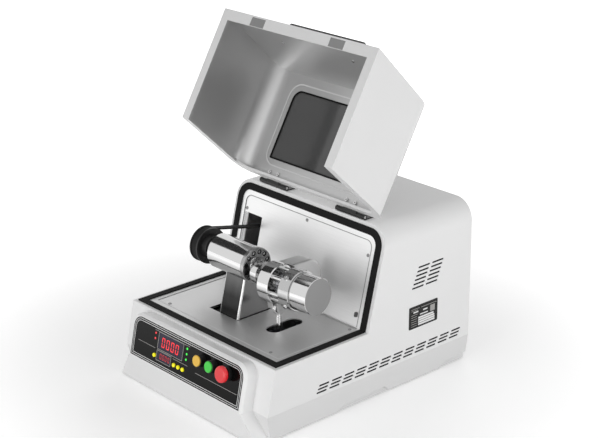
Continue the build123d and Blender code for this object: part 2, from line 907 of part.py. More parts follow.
# Rating plate on the right side wall, fixed in a shallow way
plate_back = 402.8
plate_wide = 95.5
plate_high = 56.5
plate_low = deck_height - 33.6
with BuildPart() as rating_plate:
    with BuildSketch(Plane.YZ.offset(half_width)):
        with Locations((front_y + plate_back + plate_wide / 2, plate_low + plate_high / 2)):
            RectangleRounded(plate_wide, plate_high, 3)
    extrude(amount=0.6)
save(rating_plate.part, "rating_plate")

# Support post on the base plate, tapering up to the bearing housing
post_mid_x = (post_left + post_right) / 2
post_wide = post_right - post_left
post_flange = 20.0
post_flange_thick = 12.0
post_head_low = axis_z - 20
post_head_half = post_half_deep - post_taper * (post_head_low - deck_height)
with BuildPart() as support_post:
    with BuildSketch(Plane.XY.offset(base_top)):
        with Locations((post_mid_x, axis_y)):
            Rectangle(post_wide + 2 * post_flange, 2 * post_half_deep + post_flange)
    extrude(amount=post_flange_thick)
    with BuildSketch(Plane.XY.offset(base_top)):
        with Locations((post_mid_x, axis_y)):
            Rectangle(post_wide, 2 * post_half_deep)
    extrude(amount=deck_height - base_top)
    for z, half in ((deck_height, post_half_deep), (post_head_low, post_head_half)):
        with BuildSketch(Plane.XY.offset(z)):
            with Locations((post_mid_x, axis_y)):
                Rectangle(post_wide, 2 * half)
    loft(ruled=True)
    post_corners = support_post.edges().filter_by(
        lambda edge: edge.center().Z > base_top + post_flange_thick and abs(edge.tangent_at(0.5).Z) > 0.9
    )
    fillet(post_corners, post_round)
    with Locations(Location((post_mid_x, axis_y, axis_z), (0, 90, 0))):
        Cylinder(housing_radius, 2 * post_wide, mode=Mode.SUBTRACT)
save(support_post.part, "support_post")

# Pieces turned about the main axis are drawn as (x, radius) and revolved
turn_plane = Plane(origin=axis_origin, x_dir=(1, 0, 0), z_dir=(0, -1, 0))
main_axis = Axis(axis_origin, (1, 0, 0))


def turned(points, plane=turn_plane, axis=main_axis):
    """Solid of revolution from (along, radius) points."""
    with BuildPart() as body:
        with BuildSketch(plane):
            with BuildLine():
                Polyline(*points, close=True)
            make_face()
        revolve(axis=axis)
    return body.part


edge_break = 2.5
main_housing_bore = 27.0
save(
    turned(
        [
            (housing_left, main_housing_bore),
            (housing_left, housing_radius - edge_break),
            (housing_left + edge_break, housing_radius),
            (housing_right, housing_radius),
            (housing_right, bearing_radius),
            (housing_right - bearing_long, bearing_radius),
            (housing_right - bearing_long, main_housing_bore),
            (housing_left + 2 * bearing_long, main_housing_bore),
            (housing_left + 2 * bearing_long, bearing_radius),
            (housing_left + bearing_long, bearing_radius),
            (housing_left + bearing_long, main_housing_bore),
        ]
    ),
    "bearing_housing",
)


def bearing_ring(left, long, outer, inner, plane=turn_plane, axis=main_axis):
    """A bearing with its two races and the gap between them closed by shields."""
    race = (outer - inner) / 4
    return turned(
        [
            (left, inner),
            (left, inner + race),
            (left + 1, inner + race),
            (left + 1, outer - race),
            (left, outer - race),
            (left, outer),
            (left + long, outer),
            (left + long, outer - race),
            (left + long - 1, outer - race),
            (left + long - 1, inner + race),
            (left + long, inner + race),
            (left + long, inner),
        ],
        plane,
        axis,
    )


with BuildPart() as shaft_bearings:
    for bearing_left in (housing_right - bearing_long, housing_left + bearing_long):
        add(bearing_ring(bearing_left, bearing_long, bearing_radius, shaft_radius + running_gap))
save(shaft_bearings.part, "shaft_bearings")

boss_radius = 21.0
boss_high = 4.0
cover_bore = shaft_radius + 1.0
cover_bolt_radius = 2.5
cover_bolt_head = 3.2
cover_pocket = 5.2
cover_spots = [
    (
        axis_y + cover_pitch_radius * math.cos(math.tau * (k + 0.5) / cover_bolts),
        axis_z + cover_pitch_radius * math.sin(math.tau * (k + 0.5) / cover_bolts),
    )
    for k in range(cover_bolts)
]
cover_face = housing_right + cover_thick
head_sink = 5.0

with BuildPart() as bearing_cover:
    add(
        turned(
            [
                (housing_right, cover_bore),
                (housing_right, housing_radius + 1),
                (cover_face - 1, housing_radius + 1),
                (cover_face, housing_radius),
                (cover_face, boss_radius),
                (cover_face + boss_high, boss_radius - 1),
                (cover_face + boss_high, cover_bore),
            ]
        )
    )
    with BuildSketch(Plane.YZ.offset(housing_right)):
        with Locations(*cover_spots):
            Circle(cover_bolt_radius)
    extrude(amount=cover_thick, mode=Mode.SUBTRACT)
    with BuildSketch(Plane.YZ.offset(cover_face - head_sink)):
        with Locations(*cover_spots):
            Circle(cover_pocket)
    extrude(amount=head_sink, mode=Mode.SUBTRACT)
save(bearing_cover.part, "bearing_cover")

with BuildPart() as cover_screws:
    with BuildSketch(Plane.YZ.offset(housing_right)):
        with Locations(*cover_spots):
            Circle(cover_bolt_radius)
    extrude(amount=cover_thick - head_sink)
    with BuildSketch(Plane.YZ.offset(cover_face - head_sink)):
        with Locations(*cover_spots):
            Circle(cover_bolt_head)
    extrude(amount=4)
    with BuildSketch(Plane.YZ.offset(cover_face - 1)):
        with Locations(*cover_spots):
            RegularPolygon(1.8, 6)
    extrude(amount=4, mode=Mode.SUBTRACT)
save(cover_screws.part, "cover_screws")

# Main shaft, crank web and the inclined journal, all one piece
journal_dir = Vector(1, journal_back_slope, journal_rise_slope).normalized()
hub_centre = Vector(crank_at, axis_y + crank_back, axis_z - crank_down)


def on_journal(along):
    return hub_centre + journal_dir * along


journal_side = Vector(0, 0, 1) - journal_dir * journal_dir.Z
clamp_plane = Plane(origin=hub_centre, x_dir=journal_dir.cross(Vector(0, 0, 1)), z_dir=journal_dir)
clamp_turn = Plane(origin=hub_centre, x_dir=journal_dir, z_dir=journal_dir.cross(journal_side.normalized()))
clamp_axis = Axis(hub_centre, journal_dir)
hub_left = -hub_half
hub_right = hub_half
journal_end = hub_right + 18
web_mid = Vector(
    web_left + web_thick / 2,
    axis_y + (on_journal(web_left + web_thick - crank_at).Y - axis_y) / 2,
    axis_z + (on_journal(web_left + web_thick - crank_at).Z - axis_z) / 2,
)
pulley_bore = shaft_radius - 3
pulley_right = pulley_left + 2 * pulley_flange + pulley_groove_wide

with BuildPart() as main_shaft:
    add(
        turned(
            [
                (shaft_left, 0),
                (shaft_left, pulley_bore),
                (pulley_right, pulley_bore),
                (pulley_right, shaft_radius),
                (web_left + 2, shaft_radius),
                (web_left + 2, 0),
            ]
        )
    )
    with Locations(Location(web_mid, (0, 90, 0))):
        Cylinder(web_radius, web_thick)
    with BuildSketch(clamp_plane.offset(web_left + web_thick - crank_at - 4)):
        Circle(journal_radius)
    extrude(amount=journal_end - (web_left + web_thick - crank_at - 4))
save(main_shaft.part, "main_shaft")

save(
    turned(
        [
            (pulley_left, pulley_bore),
            (pulley_left, pulley_flange_radius - 1),
            (pulley_left + 1, pulley_flange_radius),
            (pulley_left + pulley_flange, pulley_flange_radius),
            (pulley_left + pulley_flange, belt_radius - belt_gap),
            (pulley_right - pulley_flange, belt_radius - belt_gap),
            (pulley_right - pulley_flange, pulley_flange_radius),
            (pulley_right, pulley_flange_radius),
            (pulley_right, belt_radius - 8),
            (pulley_right + 14, belt_radius - 10),
            (pulley_right + 14, shaft_radius),
            (pulley_right, shaft_radius),
            (pulley_right, pulley_bore),
        ]
    ),
    "driven_pulley",
)
# Motor in the tower, its bracket, its rotor and the belt
motor_y = front_y + motor_back
motor_z = deck_height + motor_rise
motor_left = pulley_right + 10
bracket_thick = 8.0
motor_turn = Plane(origin=(0, motor_y, motor_z), x_dir=(1, 0, 0), z_dir=(0, -1, 0))
motor_axis = Axis((0, motor_y, motor_z), (1, 0, 0))
motor_face = motor_left + bracket_thick
motor_register = 28.0
motor_end = motor_face + motor_long

save(
    turned(
        [
            (motor_left + 1, motor_shaft_radius + running_gap),
            (motor_left + 1, motor_register),
            (motor_face, motor_register),
            (motor_face, motor_radius),
            (motor_end, motor_radius),
            (motor_end, motor_shaft_radius + 12),
            (motor_end - 20, motor_shaft_radius + 12),
            (motor_end - 20, motor_shaft_radius + running_gap),
        ],
        motor_turn,
        motor_axis,
    ),
    "motor_body",
)
bracket_half = motor_radius + 8
bracket_foot = 60.0
with BuildPart() as motor_bracket:
    with BuildSketch(Plane.YZ.offset(motor_left)):
        with Locations((motor_y, base_top)):
            Rectangle(
                2 * bracket_half, motor_z + bracket_half - base_top, align=(Align.CENTER, Align.MIN)
            )
        with Locations((motor_y, motor_z)):
            Circle(motor_register, mode=Mode.SUBTRACT)
    extrude(amount=bracket_thick)
    with BuildSketch(Plane.XY.offset(base_top)):
        with Locations((motor_face, motor_y)):
            Rectangle(bracket_foot, 2 * bracket_half, align=(Align.MIN, Align.CENTER))
    extrude(amount=bracket_thick)
    for side in (-1, 1):
        with BuildSketch(Plane.XZ.offset(-motor_y - side * (bracket_half - bracket_thick / 2))):
            with BuildLine():
                Polyline(
                    (motor_face, base_top + bracket_thick),
                    (motor_face + bracket_foot, base_top + bracket_thick),
                    (motor_face, base_top + bracket_thick + 110),
                    close=True,
                )
            make_face()
        extrude(amount=bracket_thick / 2, both=True)
save(motor_bracket.part, "motor_bracket")

motor_pulley_face = pulley_left + 2
save(
    turned(
        [
            (motor_pulley_face - 6, 0),
            (motor_pulley_face - 6, motor_shaft_radius),
            (motor_end - 22, motor_shaft_radius),
            (motor_end - 22, 0),
        ],
        motor_turn,
        motor_axis,
    ),
    "motor_shaft",
)
save(
    turned(
        [
            (motor_pulley_face - 4, motor_shaft_radius),
            (motor_pulley_face - 4, motor_pulley_radius + 5),
            (pulley_left + pulley_flange, motor_pulley_radius + 5),
            (pulley_left + pulley_flange, motor_pulley_radius - belt_gap),
            (pulley_right - pulley_flange, motor_pulley_radius - belt_gap),
            (pulley_right - pulley_flange, motor_pulley_radius + 5),
            (pulley_right, motor_pulley_radius + 5),
            (pulley_right, motor_shaft_radius),
        ],
        motor_turn,
        motor_axis,
    ),
    "motor_pulley",
)

belt_side_gap = 0.6
belt_wide = pulley_groove_wide - 2 * belt_side_gap
belt_plane = Plane.YZ.offset(pulley_left + pulley_flange + belt_side_gap)
with BuildPart() as drive_belt:
    for thick, how in ((belt_thick, Mode.ADD), (0, Mode.SUBTRACT)):
        with BuildSketch(belt_plane):
            with Locations((axis_y, axis_z)):
                Circle(belt_radius + thick)
            with Locations((motor_y, motor_z)):
                Circle(motor_pulley_radius + thick)
            make_hull()
        extrude(amount=belt_wide, mode=how)
save(drive_belt.part, "drive_belt")

# What the journal carries: hub, struts, clamp ring, vial and lever
hub_bearing_long = 2 * hub_half - 8
ring_left = hub_right + cage_long
ring_right = ring_left + ring_long
fork_low = link_drop + link_pin_radius + 5


def along_turned(points):
    return turned(points, clamp_turn, clamp_axis)


down_dir = Vector(0, 0, -1) + journal_dir * journal_dir.Z
down_dir = down_dir.normalized()
link_centre = on_journal(link_along) + down_dir * link_drop
link_cross = Plane(origin=link_centre, x_dir=journal_dir.cross(down_dir), z_dir=journal_dir)

with BuildPart() as wobble_hub:
    add(
        along_turned(
            [
                (hub_left, journal_radius + 4),
                (hub_left, hub_radius - 2),
                (hub_left + 2, hub_radius),
                (hub_right - 2, hub_radius),
                (hub_right, hub_radius - 2),
                (hub_right, hub_bearing_radius),
                (hub_left + 4, hub_bearing_radius),
                (hub_left + 4, journal_radius + 4),
            ]
        )
    )
    with BuildSketch(clamp_plane.offset(hub_right)):
        with PolarLocations(strut_circle, strut_count, start_angle=15):
            Circle(strut_radius)
    extrude(amount=cage_long)
    # two ears under the hub hold the pin of the link's ball
    for start in (-link_ear_gap - link_ear_thick, link_ear_gap):
        with BuildSketch(link_cross.offset(start)):
            Circle(link_pin_radius + 6)
            with Locations((0, (link_drop - hub_radius + 6) / 2)):
                Rectangle(2 * link_pin_radius + 12, link_drop - hub_radius + 6)
            Circle(link_pin_radius, mode=Mode.SUBTRACT)
        extrude(amount=link_ear_thick)
save(wobble_hub.part, "wobble_hub")

save(
    bearing_ring(
        hub_left + 4,
        hub_bearing_long + 3.5,
        hub_bearing_radius,
        journal_radius + running_gap,
        clamp_turn,
        clamp_axis,
    ),
    "hub_bearing",
)

with BuildPart() as link_pin:
    with BuildSketch(link_cross.offset(-link_ear_gap - link_ear_thick)):
        Circle(link_pin_radius)
    extrude(amount=2 * (link_ear_gap + link_ear_thick))
save(link_pin.part, "link_pin")

seat_left = ring_left + ring_back_wall
clamp_screw_count = 4
clamp_screw_radius = 5.5
clamp_screw_along = ring_left + 15
clamp_screw_high = 4.0
clamp_screw_turn = math.radians(-50)

with BuildPart() as clamp_screws:
    for k in range(clamp_screw_count):
        turn = math.tau * k / clamp_screw_count + clamp_screw_turn
        out = clamp_plane.x_dir * math.cos(turn) + clamp_plane.y_dir * math.sin(turn)
        spot = on_journal(clamp_screw_along) + out * (ring_radius - 1.5)
        with BuildSketch(Plane(origin=spot, x_dir=journal_dir, z_dir=out)):
            Circle(clamp_screw_radius)
        extrude(amount=clamp_screw_high)
        with BuildSketch(Plane(origin=spot, x_dir=journal_dir, z_dir=out).offset(2)):
            RegularPolygon(clamp_screw_radius - 2.5, 6)
        extrude(amount=clamp_screw_high, mode=Mode.SUBTRACT)

with BuildPart() as clamp_ring:
    add(
        along_turned(
            [
                (ring_left, 24),
                (ring_left, ring_radius - ring_chamfer),
                (ring_left + ring_chamfer, ring_radius),
                (ring_right - 1.5, ring_radius),
                (ring_right, ring_radius - 1.5),
                (ring_right, vial_radius + vial_gap),
                (seat_left, vial_radius + vial_gap),
                (seat_left, 24),
            ]
        )
    )
    add(clamp_screws.part, mode=Mode.SUBTRACT)
save(clamp_ring.part, "clamp_ring")
save(clamp_screws.part, "clamp_screws")

# Arm that reaches back from the hub, thick and round at its rear end
arm_reach = 74.0
arm_drop = 4.0
arm_left = -10.0
arm_right = 30.0
arm_root_radius = hub_radius - 3
arm_end_radius = 44.0
arm_edge = 5.0
with BuildPart() as rear_arm:
    with BuildSketch(clamp_plane.offset(arm_left)):
        Circle(arm_root_radius)
        with Locations((-arm_reach, arm_drop)):
            Circle(arm_end_radius)
        make_hull()
    extrude(amount=arm_right - arm_left)
    fillet(rear_arm.faces().sort_by(clamp_axis)[-1].edges(), arm_edge)
    with BuildSketch(clamp_plane.offset(arm_left - 1)):
        Circle(hub_radius)
    extrude(amount=arm_right - arm_left + 2, mode=Mode.SUBTRACT)
save(rear_arm.part, "rear_arm")

# Vial: a cup with its flat closed end outwards, its cap seated in the clamp ring
cap_right = seat_left + vial_cap_thick
vial_right = ring_right + vial_long
vial_bore = vial_radius - vial_wall
save(
    along_turned(
        [
            (seat_left + vial_gap, 0),
            (seat_left + vial_gap, vial_radius - 2),
            (seat_left + vial_gap + 2, vial_radius),
            (cap_right, vial_radius),
            (cap_right, vial_bore),
            (cap_right + 4, vial_bore - 0.2),
            (cap_right + 4, 0),
        ]
    ),
    "vial_cap",
)
save(
    along_turned(
        [
            (cap_right, vial_bore),
            (cap_right, vial_radius),
            (ring_right + 1, vial_radius),
            (ring_right + 1, vial_radius - 1),
            (ring_right + 2.5, vial_radius - 1),
            (ring_right + 2.5, vial_radius),
            (vial_right - 1, vial_radius),
            (vial_right, vial_radius - 1),
            (vial_right, 0),
            (vial_right - vial_wall, 0),
            (vial_right - vial_wall, vial_bore),
        ]
    ),
    "vial_body",
)
ball_seat = vial_bore - ball_radius
ball_first = cap_right + 4 + ball_radius + 3
ball_count = 3
with BuildPart() as grinding_balls:
    for k in range(ball_count):
        centre = on_journal(ball_first + k * (2 * ball_radius + 1)) + down_dir * ball_seat
        with Locations(Location(centre)):
            Sphere(ball_radius)
save(grinding_balls.part, "grinding_balls")

# Ball and rod of the restraining link, hanging into the slot
with BuildPart() as link_ball:
    with Locations(Location(link_centre, (0, 90, 0))):
        Sphere(link_ball_radius)
    with BuildSketch(link_cross.offset(link_ball_half)):
        Circle(link_ball_radius + 1)
    extrude(amount=link_ball_radius, mode=Mode.SUBTRACT)
    with BuildSketch(link_cross.offset(-link_ball_half)):
        Circle(link_ball_radius + 1)
    extrude(amount=-link_ball_radius, mode=Mode.SUBTRACT)
    with BuildSketch(link_cross.offset(-link_ball_radius)):
        Circle(link_pin_radius + running_gap)
    extrude(amount=2 * link_ball_radius, mode=Mode.SUBTRACT)
save(link_ball.part, "link_ball")

link_x = link_centre.X
link_y = link_centre.Y
link_z = link_centre.Z
rod_plane = Plane.YZ.offset(link_x - link_eye_half)
with BuildPart() as link_rod:
    with Locations((link_x, link_y, link_z - link_length + link_eye_radius - 3)):
        Cylinder(
            link_rod_radius,
            link_length - 2 * link_eye_radius + 6,
            align=(Align.CENTER, Align.CENTER, Align.MIN),
        )
    with Locations((link_x, link_y, link_z - link_eye_radius - 20)):
        Cylinder(link_rod_radius + 1.5, 16, align=(Align.CENTER, Align.CENTER, Align.MIN))
    for z in (link_z, link_z - link_length):
        with BuildSketch(rod_plane):
            with Locations((link_y, z)):
                Circle(link_eye_radius)
        extrude(amount=2 * link_eye_half)
    with Locations(Location(link_centre, (0, 90, 0))):
        Sphere(link_ball_radius + running_gap, mode=Mode.SUBTRACT)
    with BuildSketch(rod_plane):
        with Locations((link_y, link_z - link_length)):
            Circle(link_pin_radius)
    extrude(amount=2 * link_eye_half, mode=Mode.SUBTRACT)
save(link_rod.part, "link_rod")

cheek_gap = 13.0
cheek_thick = 4.0
cheek_half = 26.0
cheek_top = deck_height - 10
with BuildPart() as link_bracket:
    with BuildSketch(Plane.XY.offset(base_top)):
        with Locations((link_x, link_y)):
            Rectangle(2 * (cheek_gap + cheek_thick + 14), 2 * cheek_half)
    extrude(amount=cheek_thick)
    with BuildSketch(Plane.XY.offset(base_top)):
        for side in (-1, 1):
            with Locations((link_x + side * (cheek_gap + cheek_thick / 2), link_y)):
                Rectangle(cheek_thick, 2 * cheek_half)
    extrude(amount=cheek_top - base_top)
save(link_bracket.part, "link_bracket")

# Motor drive unit and power supply on the base plate
drive_wide = 110.0
drive_deep = 150.0
drive_high = 95.0
drive_side_gap = 23.2
drive_back = 340.0
drive_x = base_half - drive_side_gap - drive_wide / 2
fin_pitch = 14.0
fin_slot = 8.0
fin_count = 7
with BuildPart() as motor_drive:
    with BuildSketch(Plane.XY.offset(base_top)):
        with Locations((drive_x, front_y + drive_back)):
            RectangleRounded(drive_wide, drive_deep, 5)
    extrude(amount=drive_high)
    for k in range(fin_count):
        with BuildSketch(Plane.XY.offset(base_top + drive_high - 12)):
            with Locations((drive_x + (k - (fin_count - 1) / 2) * fin_pitch, front_y + drive_back)):
                Rectangle(fin_slot, drive_deep - 20)
        extrude(amount=13, mode=Mode.SUBTRACT)
save(motor_drive.part, "motor_drive")

# Lid: a deep hood, drawn closed and turned up about the hinge line
hinge_y = bulkhead_y(tower_top) + hinge_behind
hinge_z = tower_top + hinge_rise
to_hinge = Location((0, hinge_y, hinge_z))
from_hinge = Location((0, -hinge_y, -hinge_z))
lid_turn = to_hinge * Location((0, 0, 0), (-lid_open, 0, 0)) * from_hinge
lid_low = deck_height + gasket_thick + lid_seat_gap
rim_back = (gasket_thick + lid_seat_gap) / math.cos(lean)
lid_tan = math.tan(math.radians(lid_front_lean))
lid_front_foot = housing_front


def lid_rear(z):
    """Y of the lid's rear rim at height z, with the lid closed."""
    return bulkhead_y(z) - rim_back


def lid_front(z):
    """Y of the lid's front wall at height z, with the lid closed."""
    return lid_front_foot + (z - lid_low) * lid_tan


side_view = lid_turn * Plane.YZ


def lid_block(points, half, edge_round):
    """Solid across the lid from a side outline, its two top side edges rounded."""
    with BuildPart() as block:
        with BuildSketch(Plane.YZ):
            with BuildLine():
                Polyline(*points, close=True)
            make_face()
        extrude(amount=half, both=True)
        fillet(block.edges().filter_by(Axis.Y).group_by(Axis.Z)[-1], edge_round)
    return block.part


with BuildPart() as lid_closed:
    add(
        lid_block(
            [
                (lid_front(lid_low), lid_low),
                (lid_front(tower_top), tower_top),
                (lid_rear(tower_top), tower_top),
                (lid_rear(lid_low), lid_low),
            ],
            half_width,
            tower_round,
        )
    )
    inner_low = lid_low + lid_rim_thick
    inner_top = tower_top - lid_wall
    add(
        lid_block(
            [
                (lid_front(inner_low) + lid_wall, inner_low),
                (lid_front(inner_top) + lid_wall, inner_top),
                (lid_rear(inner_top) - lid_rim_thick, inner_top),
                (lid_rear(inner_low) - lid_rim_thick, inner_low),
            ],
            half_width - lid_wall,
            tower_round - lid_wall,
        ),
        mode=Mode.SUBTRACT,
    )
    mouth_top = tower_top - lid_rim_top
    add(
        lid_block(
            [
                (lid_front_foot + lid_rim_front, lid_low - 20),
                (lid_front_foot + lid_rim_front, inner_low + 10),
                (lid_front(mouth_top) + lid_wall + 8, mouth_top),
                (lid_rear(mouth_top) + 40, mouth_top),
                (lid_rear(mouth_top) + 40, lid_low - 20),
            ],
            half_width - lid_rim_side,
            tower_round - lid_rim_side,
        ),
        mode=Mode.SUBTRACT,
    )
    with BuildSketch(Plane.XY.offset(tower_top - lid_wall - 3)) as window_hole:
        with Locations((0, front_y + window_front + window_long / 2)):
            Rectangle(2 * window_half, window_long)
        fillet(window_hole.vertices().group_by(Axis.Y)[0], window_round)
        fillet(window_hole.vertices().group_by(Axis.Y)[-1], 4)
    extrude(amount=lid_wall + 6, mode=Mode.SUBTRACT)
    hinge_bolt_y = lid_rear(tower_top) - hinge_bolt_back + 3
    hinge_bolt_spots = [
        (side * hinge_centre + half * hinge_bolt_pitch / 2, hinge_bolt_y) for side in (-1, 1) for half in (-1, 1)
    ]
    hinge_bolt_radius = 2.5
    with BuildSketch(Plane.XY.offset(tower_top - lid_wall - 3)):
        with Locations(*hinge_bolt_spots):
            Circle(hinge_bolt_radius)
    extrude(amount=lid_wall + 6, mode=Mode.SUBTRACT)
    handle_rise = 86.0
    handle_half = 118.0
    handle_leg = 12.0
    handle_deep = 18.0
    handle_out = 45.0
    handle_bar = 10.0
    front_normal = (0, -math.cos(math.radians(lid_front_lean)), math.sin(math.radians(lid_front_lean)))
    handle_plane = Plane(
        origin=(0, lid_front(lid_low + handle_rise), lid_low + handle_rise),
        x_dir=(1, 0, 0),
        z_dir=front_normal,
    )
    with BuildSketch(handle_plane.offset(1)):
        with Locations((-handle_half, 0), (handle_half, 0)):
            Circle(hinge_bolt_radius)
    extrude(amount=-lid_wall - 4, mode=Mode.SUBTRACT)
    # two shallow pockets in the front rim for the catch plates
    catch_centre = 133.0
    catch_wide = 48.0
    catch_deep = 21.0
    catch_thick = 2.0
    catch_y = lid_front_foot + lid_rim_front - catch_deep / 2 - 1
    with BuildSketch(Plane.XY.offset(lid_low)):
        with Locations((-catch_centre, catch_y), (catch_centre, catch_y)):
            Rectangle(catch_wide, catch_deep)
    extrude(amount=catch_thick, mode=Mode.SUBTRACT)
save(lid_turn * lid_closed.part, "lid_shell")


def window_sketch_plane(height):
    return Plane.XY.offset(height)


seal_low = tower_top - lid_wall - (window_seal_thick - lid_wall) / 2
with BuildPart() as window_seal:
    with BuildSketch(window_sketch_plane(seal_low)) as outline:
        with Locations((0, front_y + window_front + window_long / 2)):
            Rectangle(2 * window_half, window_long)
        fillet(outline.vertices().group_by(Axis.Y)[0], window_round)
        fillet(outline.vertices().group_by(Axis.Y)[-1], 4)
        offset(amount=-window_seal_width, mode=Mode.SUBTRACT)
    extrude(amount=window_seal_thick)
save(lid_turn * window_seal.part, "window_seal")

glass_low = tower_top - (lid_wall + window_glass_thick) / 2
with BuildPart() as window_glass:
    with BuildSketch(window_sketch_plane(glass_low)) as outline:
        with Locations((0, front_y + window_front + window_long / 2)):
            Rectangle(2 * window_half, window_long)
        fillet(outline.vertices().group_by(Axis.Y)[0], window_round)
        fillet(outline.vertices().group_by(Axis.Y)[-1], 4)
        offset(amount=-window_seal_width, mode=Mode.REPLACE)
    extrude(amount=window_glass_thick)
save(lid_turn * window_glass.part, "window_glass")

with BuildPart() as lid_handle:
    with BuildSketch(handle_plane):
        Rectangle(2 * handle_half + handle_leg, handle_deep)
    extrude(amount=handle_out)
    fillet(lid_handle.edges().filter_by(Plane(origin=(0, 0, 0), x_dir=(1, 0, 0), z_dir=front_normal)).sort_by(
        Axis((0, 0, 0), front_normal))[-4:], 4)
    with BuildSketch(handle_plane):
        Rectangle(2 * handle_half - handle_leg, handle_deep + 2)
    extrude(amount=handle_out - handle_bar, mode=Mode.SUBTRACT)
save(lid_turn * lid_handle.part, "lid_handle")

with BuildPart() as handle_screws:
    with BuildSketch(handle_plane.offset(-lid_wall - screw_head_high)):
        with Locations((-handle_half, 0), (handle_half, 0)):
            Circle(screw_head)
    extrude(amount=screw_head_high)
    with BuildSketch(handle_plane.offset(-lid_wall)):
        with Locations((-handle_half, 0), (handle_half, 0)):
            Circle(hinge_bolt_radius)
    extrude(amount=lid_wall)

with BuildPart() as catch_plates:
    with BuildSketch(Plane.XY.offset(lid_low + catch_thick / 2)):
        with Locations((-catch_centre, catch_y), (catch_centre, catch_y)):
            Rectangle(catch_wide, catch_deep)
    extrude(amount=catch_thick / 2)
save(lid_turn * catch_plates.part, "catch_plates")


def leaf_pair(plate_from, plate_to, knuckle_spans, neck_to):
    """Both hinges' leaves of one kind: a plate, its knuckles and the necks between them."""
    with BuildPart() as leaves:
        for side in (-1, 1):
            middle = side * hinge_centre
            with BuildSketch(Plane.XY.offset(tower_top)):
                with Locations((middle, (plate_from + plate_to) / 2)):
                    Rectangle(hinge_long, abs(plate_to - plate_from))
            extrude(amount=hinge_leaf_thick)
            for low, high in knuckle_spans:
                with BuildSketch(Plane.XY.offset(tower_top)):
                    with Locations((middle + (low + high) / 2, (neck_to + hinge_y) / 2)):
                        Rectangle(high - low, abs(hinge_y - neck_to))
                extrude(amount=hinge_leaf_thick)
                with BuildSketch(Plane.YZ.offset(middle + low)):
                    with Locations((hinge_y, hinge_z)):
                        Circle(hinge_barrel)
                extrude(amount=high - low)
        for side in (-1, 1):
            with BuildSketch(Plane.YZ.offset(side * hinge_centre - hinge_long / 2)):
                with Locations((hinge_y, hinge_z)):
                    Circle(hinge_pin_radius + running_gap)
            extrude(amount=hinge_long, mode=Mode.SUBTRACT)
    return leaves.part


half_hinge = hinge_long / 2
neck = hinge_barrel + hinge_gap
fixed_spans = [(-half_hinge, -half_hinge + hinge_end_knuckle), (half_hinge - hinge_end_knuckle, half_hinge)]
moving_spans = [(-half_hinge + hinge_end_knuckle + hinge_gap, half_hinge - hinge_end_knuckle - hinge_gap)]
save(leaf_pair(hinge_y + neck, hinge_y + hinge_leaf_long, fixed_spans, hinge_y + neck), "hinge_bases")

with BuildPart() as hinge_leaves:
    add(leaf_pair(hinge_y - hinge_leaf_long, hinge_y - neck, moving_spans, hinge_y - neck))
    with BuildSketch(Plane.XY.offset(tower_top)):
        with Locations(*hinge_bolt_spots):
            Circle(hinge_bolt_radius)
    extrude(amount=hinge_leaf_thick, mode=Mode.SUBTRACT)
save(lid_turn * hinge_leaves.part, "hinge_leaves")

with BuildPart() as hinge_pins:
    for side in (-1, 1):
        with BuildSketch(Plane.YZ.offset(side * hinge_centre - half_hinge)):
            with Locations((hinge_y, hinge_z)):
                Circle(hinge_pin_radius)
        extrude(amount=hinge_long)
save(hinge_pins.part, "hinge_pins")

hinge_head = 4.2
with BuildPart() as hinge_bolts:
    with BuildSketch(Plane.XY.offset(tower_top - lid_wall - 3.5)):
        with Locations(*hinge_bolt_spots):
            Circle(hinge_head)
            RegularPolygon(2.3, 6, mode=Mode.SUBTRACT)
    extrude(amount=3.5)
    with BuildSketch(Plane.XY.offset(tower_top - lid_wall - 0.5)):
        with Locations(*hinge_bolt_spots):
            Circle(hinge_head)
    extrude(amount=0.5)
    with BuildSketch(Plane.XY.offset(tower_top - lid_wall)):
        with Locations(*hinge_bolt_spots):
            Circle(hinge_bolt_radius)
    extrude(amount=lid_wall + hinge_leaf_thick)
with BuildPart() as lid_screws:
    add(handle_screws.part)
    add(hinge_bolts.part)
save(lid_turn * lid_screws.part, "lid_screws")
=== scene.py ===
import bpy
import bmesh
import math
from mathutils import Matrix, Vector


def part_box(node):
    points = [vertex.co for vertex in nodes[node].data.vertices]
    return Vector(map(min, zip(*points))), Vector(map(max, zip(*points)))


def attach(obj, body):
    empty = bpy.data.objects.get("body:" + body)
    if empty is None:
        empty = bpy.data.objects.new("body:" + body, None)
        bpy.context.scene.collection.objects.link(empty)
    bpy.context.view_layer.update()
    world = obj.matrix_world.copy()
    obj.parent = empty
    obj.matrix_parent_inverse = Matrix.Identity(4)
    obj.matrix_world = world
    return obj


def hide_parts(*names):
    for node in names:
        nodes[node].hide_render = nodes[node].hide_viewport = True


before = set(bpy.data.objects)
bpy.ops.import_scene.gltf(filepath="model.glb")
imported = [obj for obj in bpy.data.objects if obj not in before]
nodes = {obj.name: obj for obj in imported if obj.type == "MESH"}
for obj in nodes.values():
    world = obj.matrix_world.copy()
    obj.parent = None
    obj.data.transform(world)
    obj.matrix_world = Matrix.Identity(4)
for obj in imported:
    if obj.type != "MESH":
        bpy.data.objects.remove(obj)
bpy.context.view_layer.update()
print("frame loaded:", len(nodes), "nodes")

# Places shared by several pieces, in metres
shape = {
    "frontY": -0.2675,  # outer front edge of the gasket
    "deckZ": 0.175,
    "ledge": 0.009,
    "frontLean": math.radians(12.5),
    "bulkLean": math.radians(14.0),
    "panelOut": 0.034,
    "halfWidth": 0.259,
    "deckDepth": 0.271,
    "towerTop": 0.413,
}

# Camera
cameraView = {
    "azimuth": math.radians(48.344),
    "elevation": math.radians(20.716),
    "roll": math.radians(-0.4085),
    "place": (2.5583, -2.257, 1.6721),
    "lens": 93.55,
    "sensor": 36,
    "farthest": 50,
    "shiftX": 0.00543,
    "shiftY": 0.00058,
}


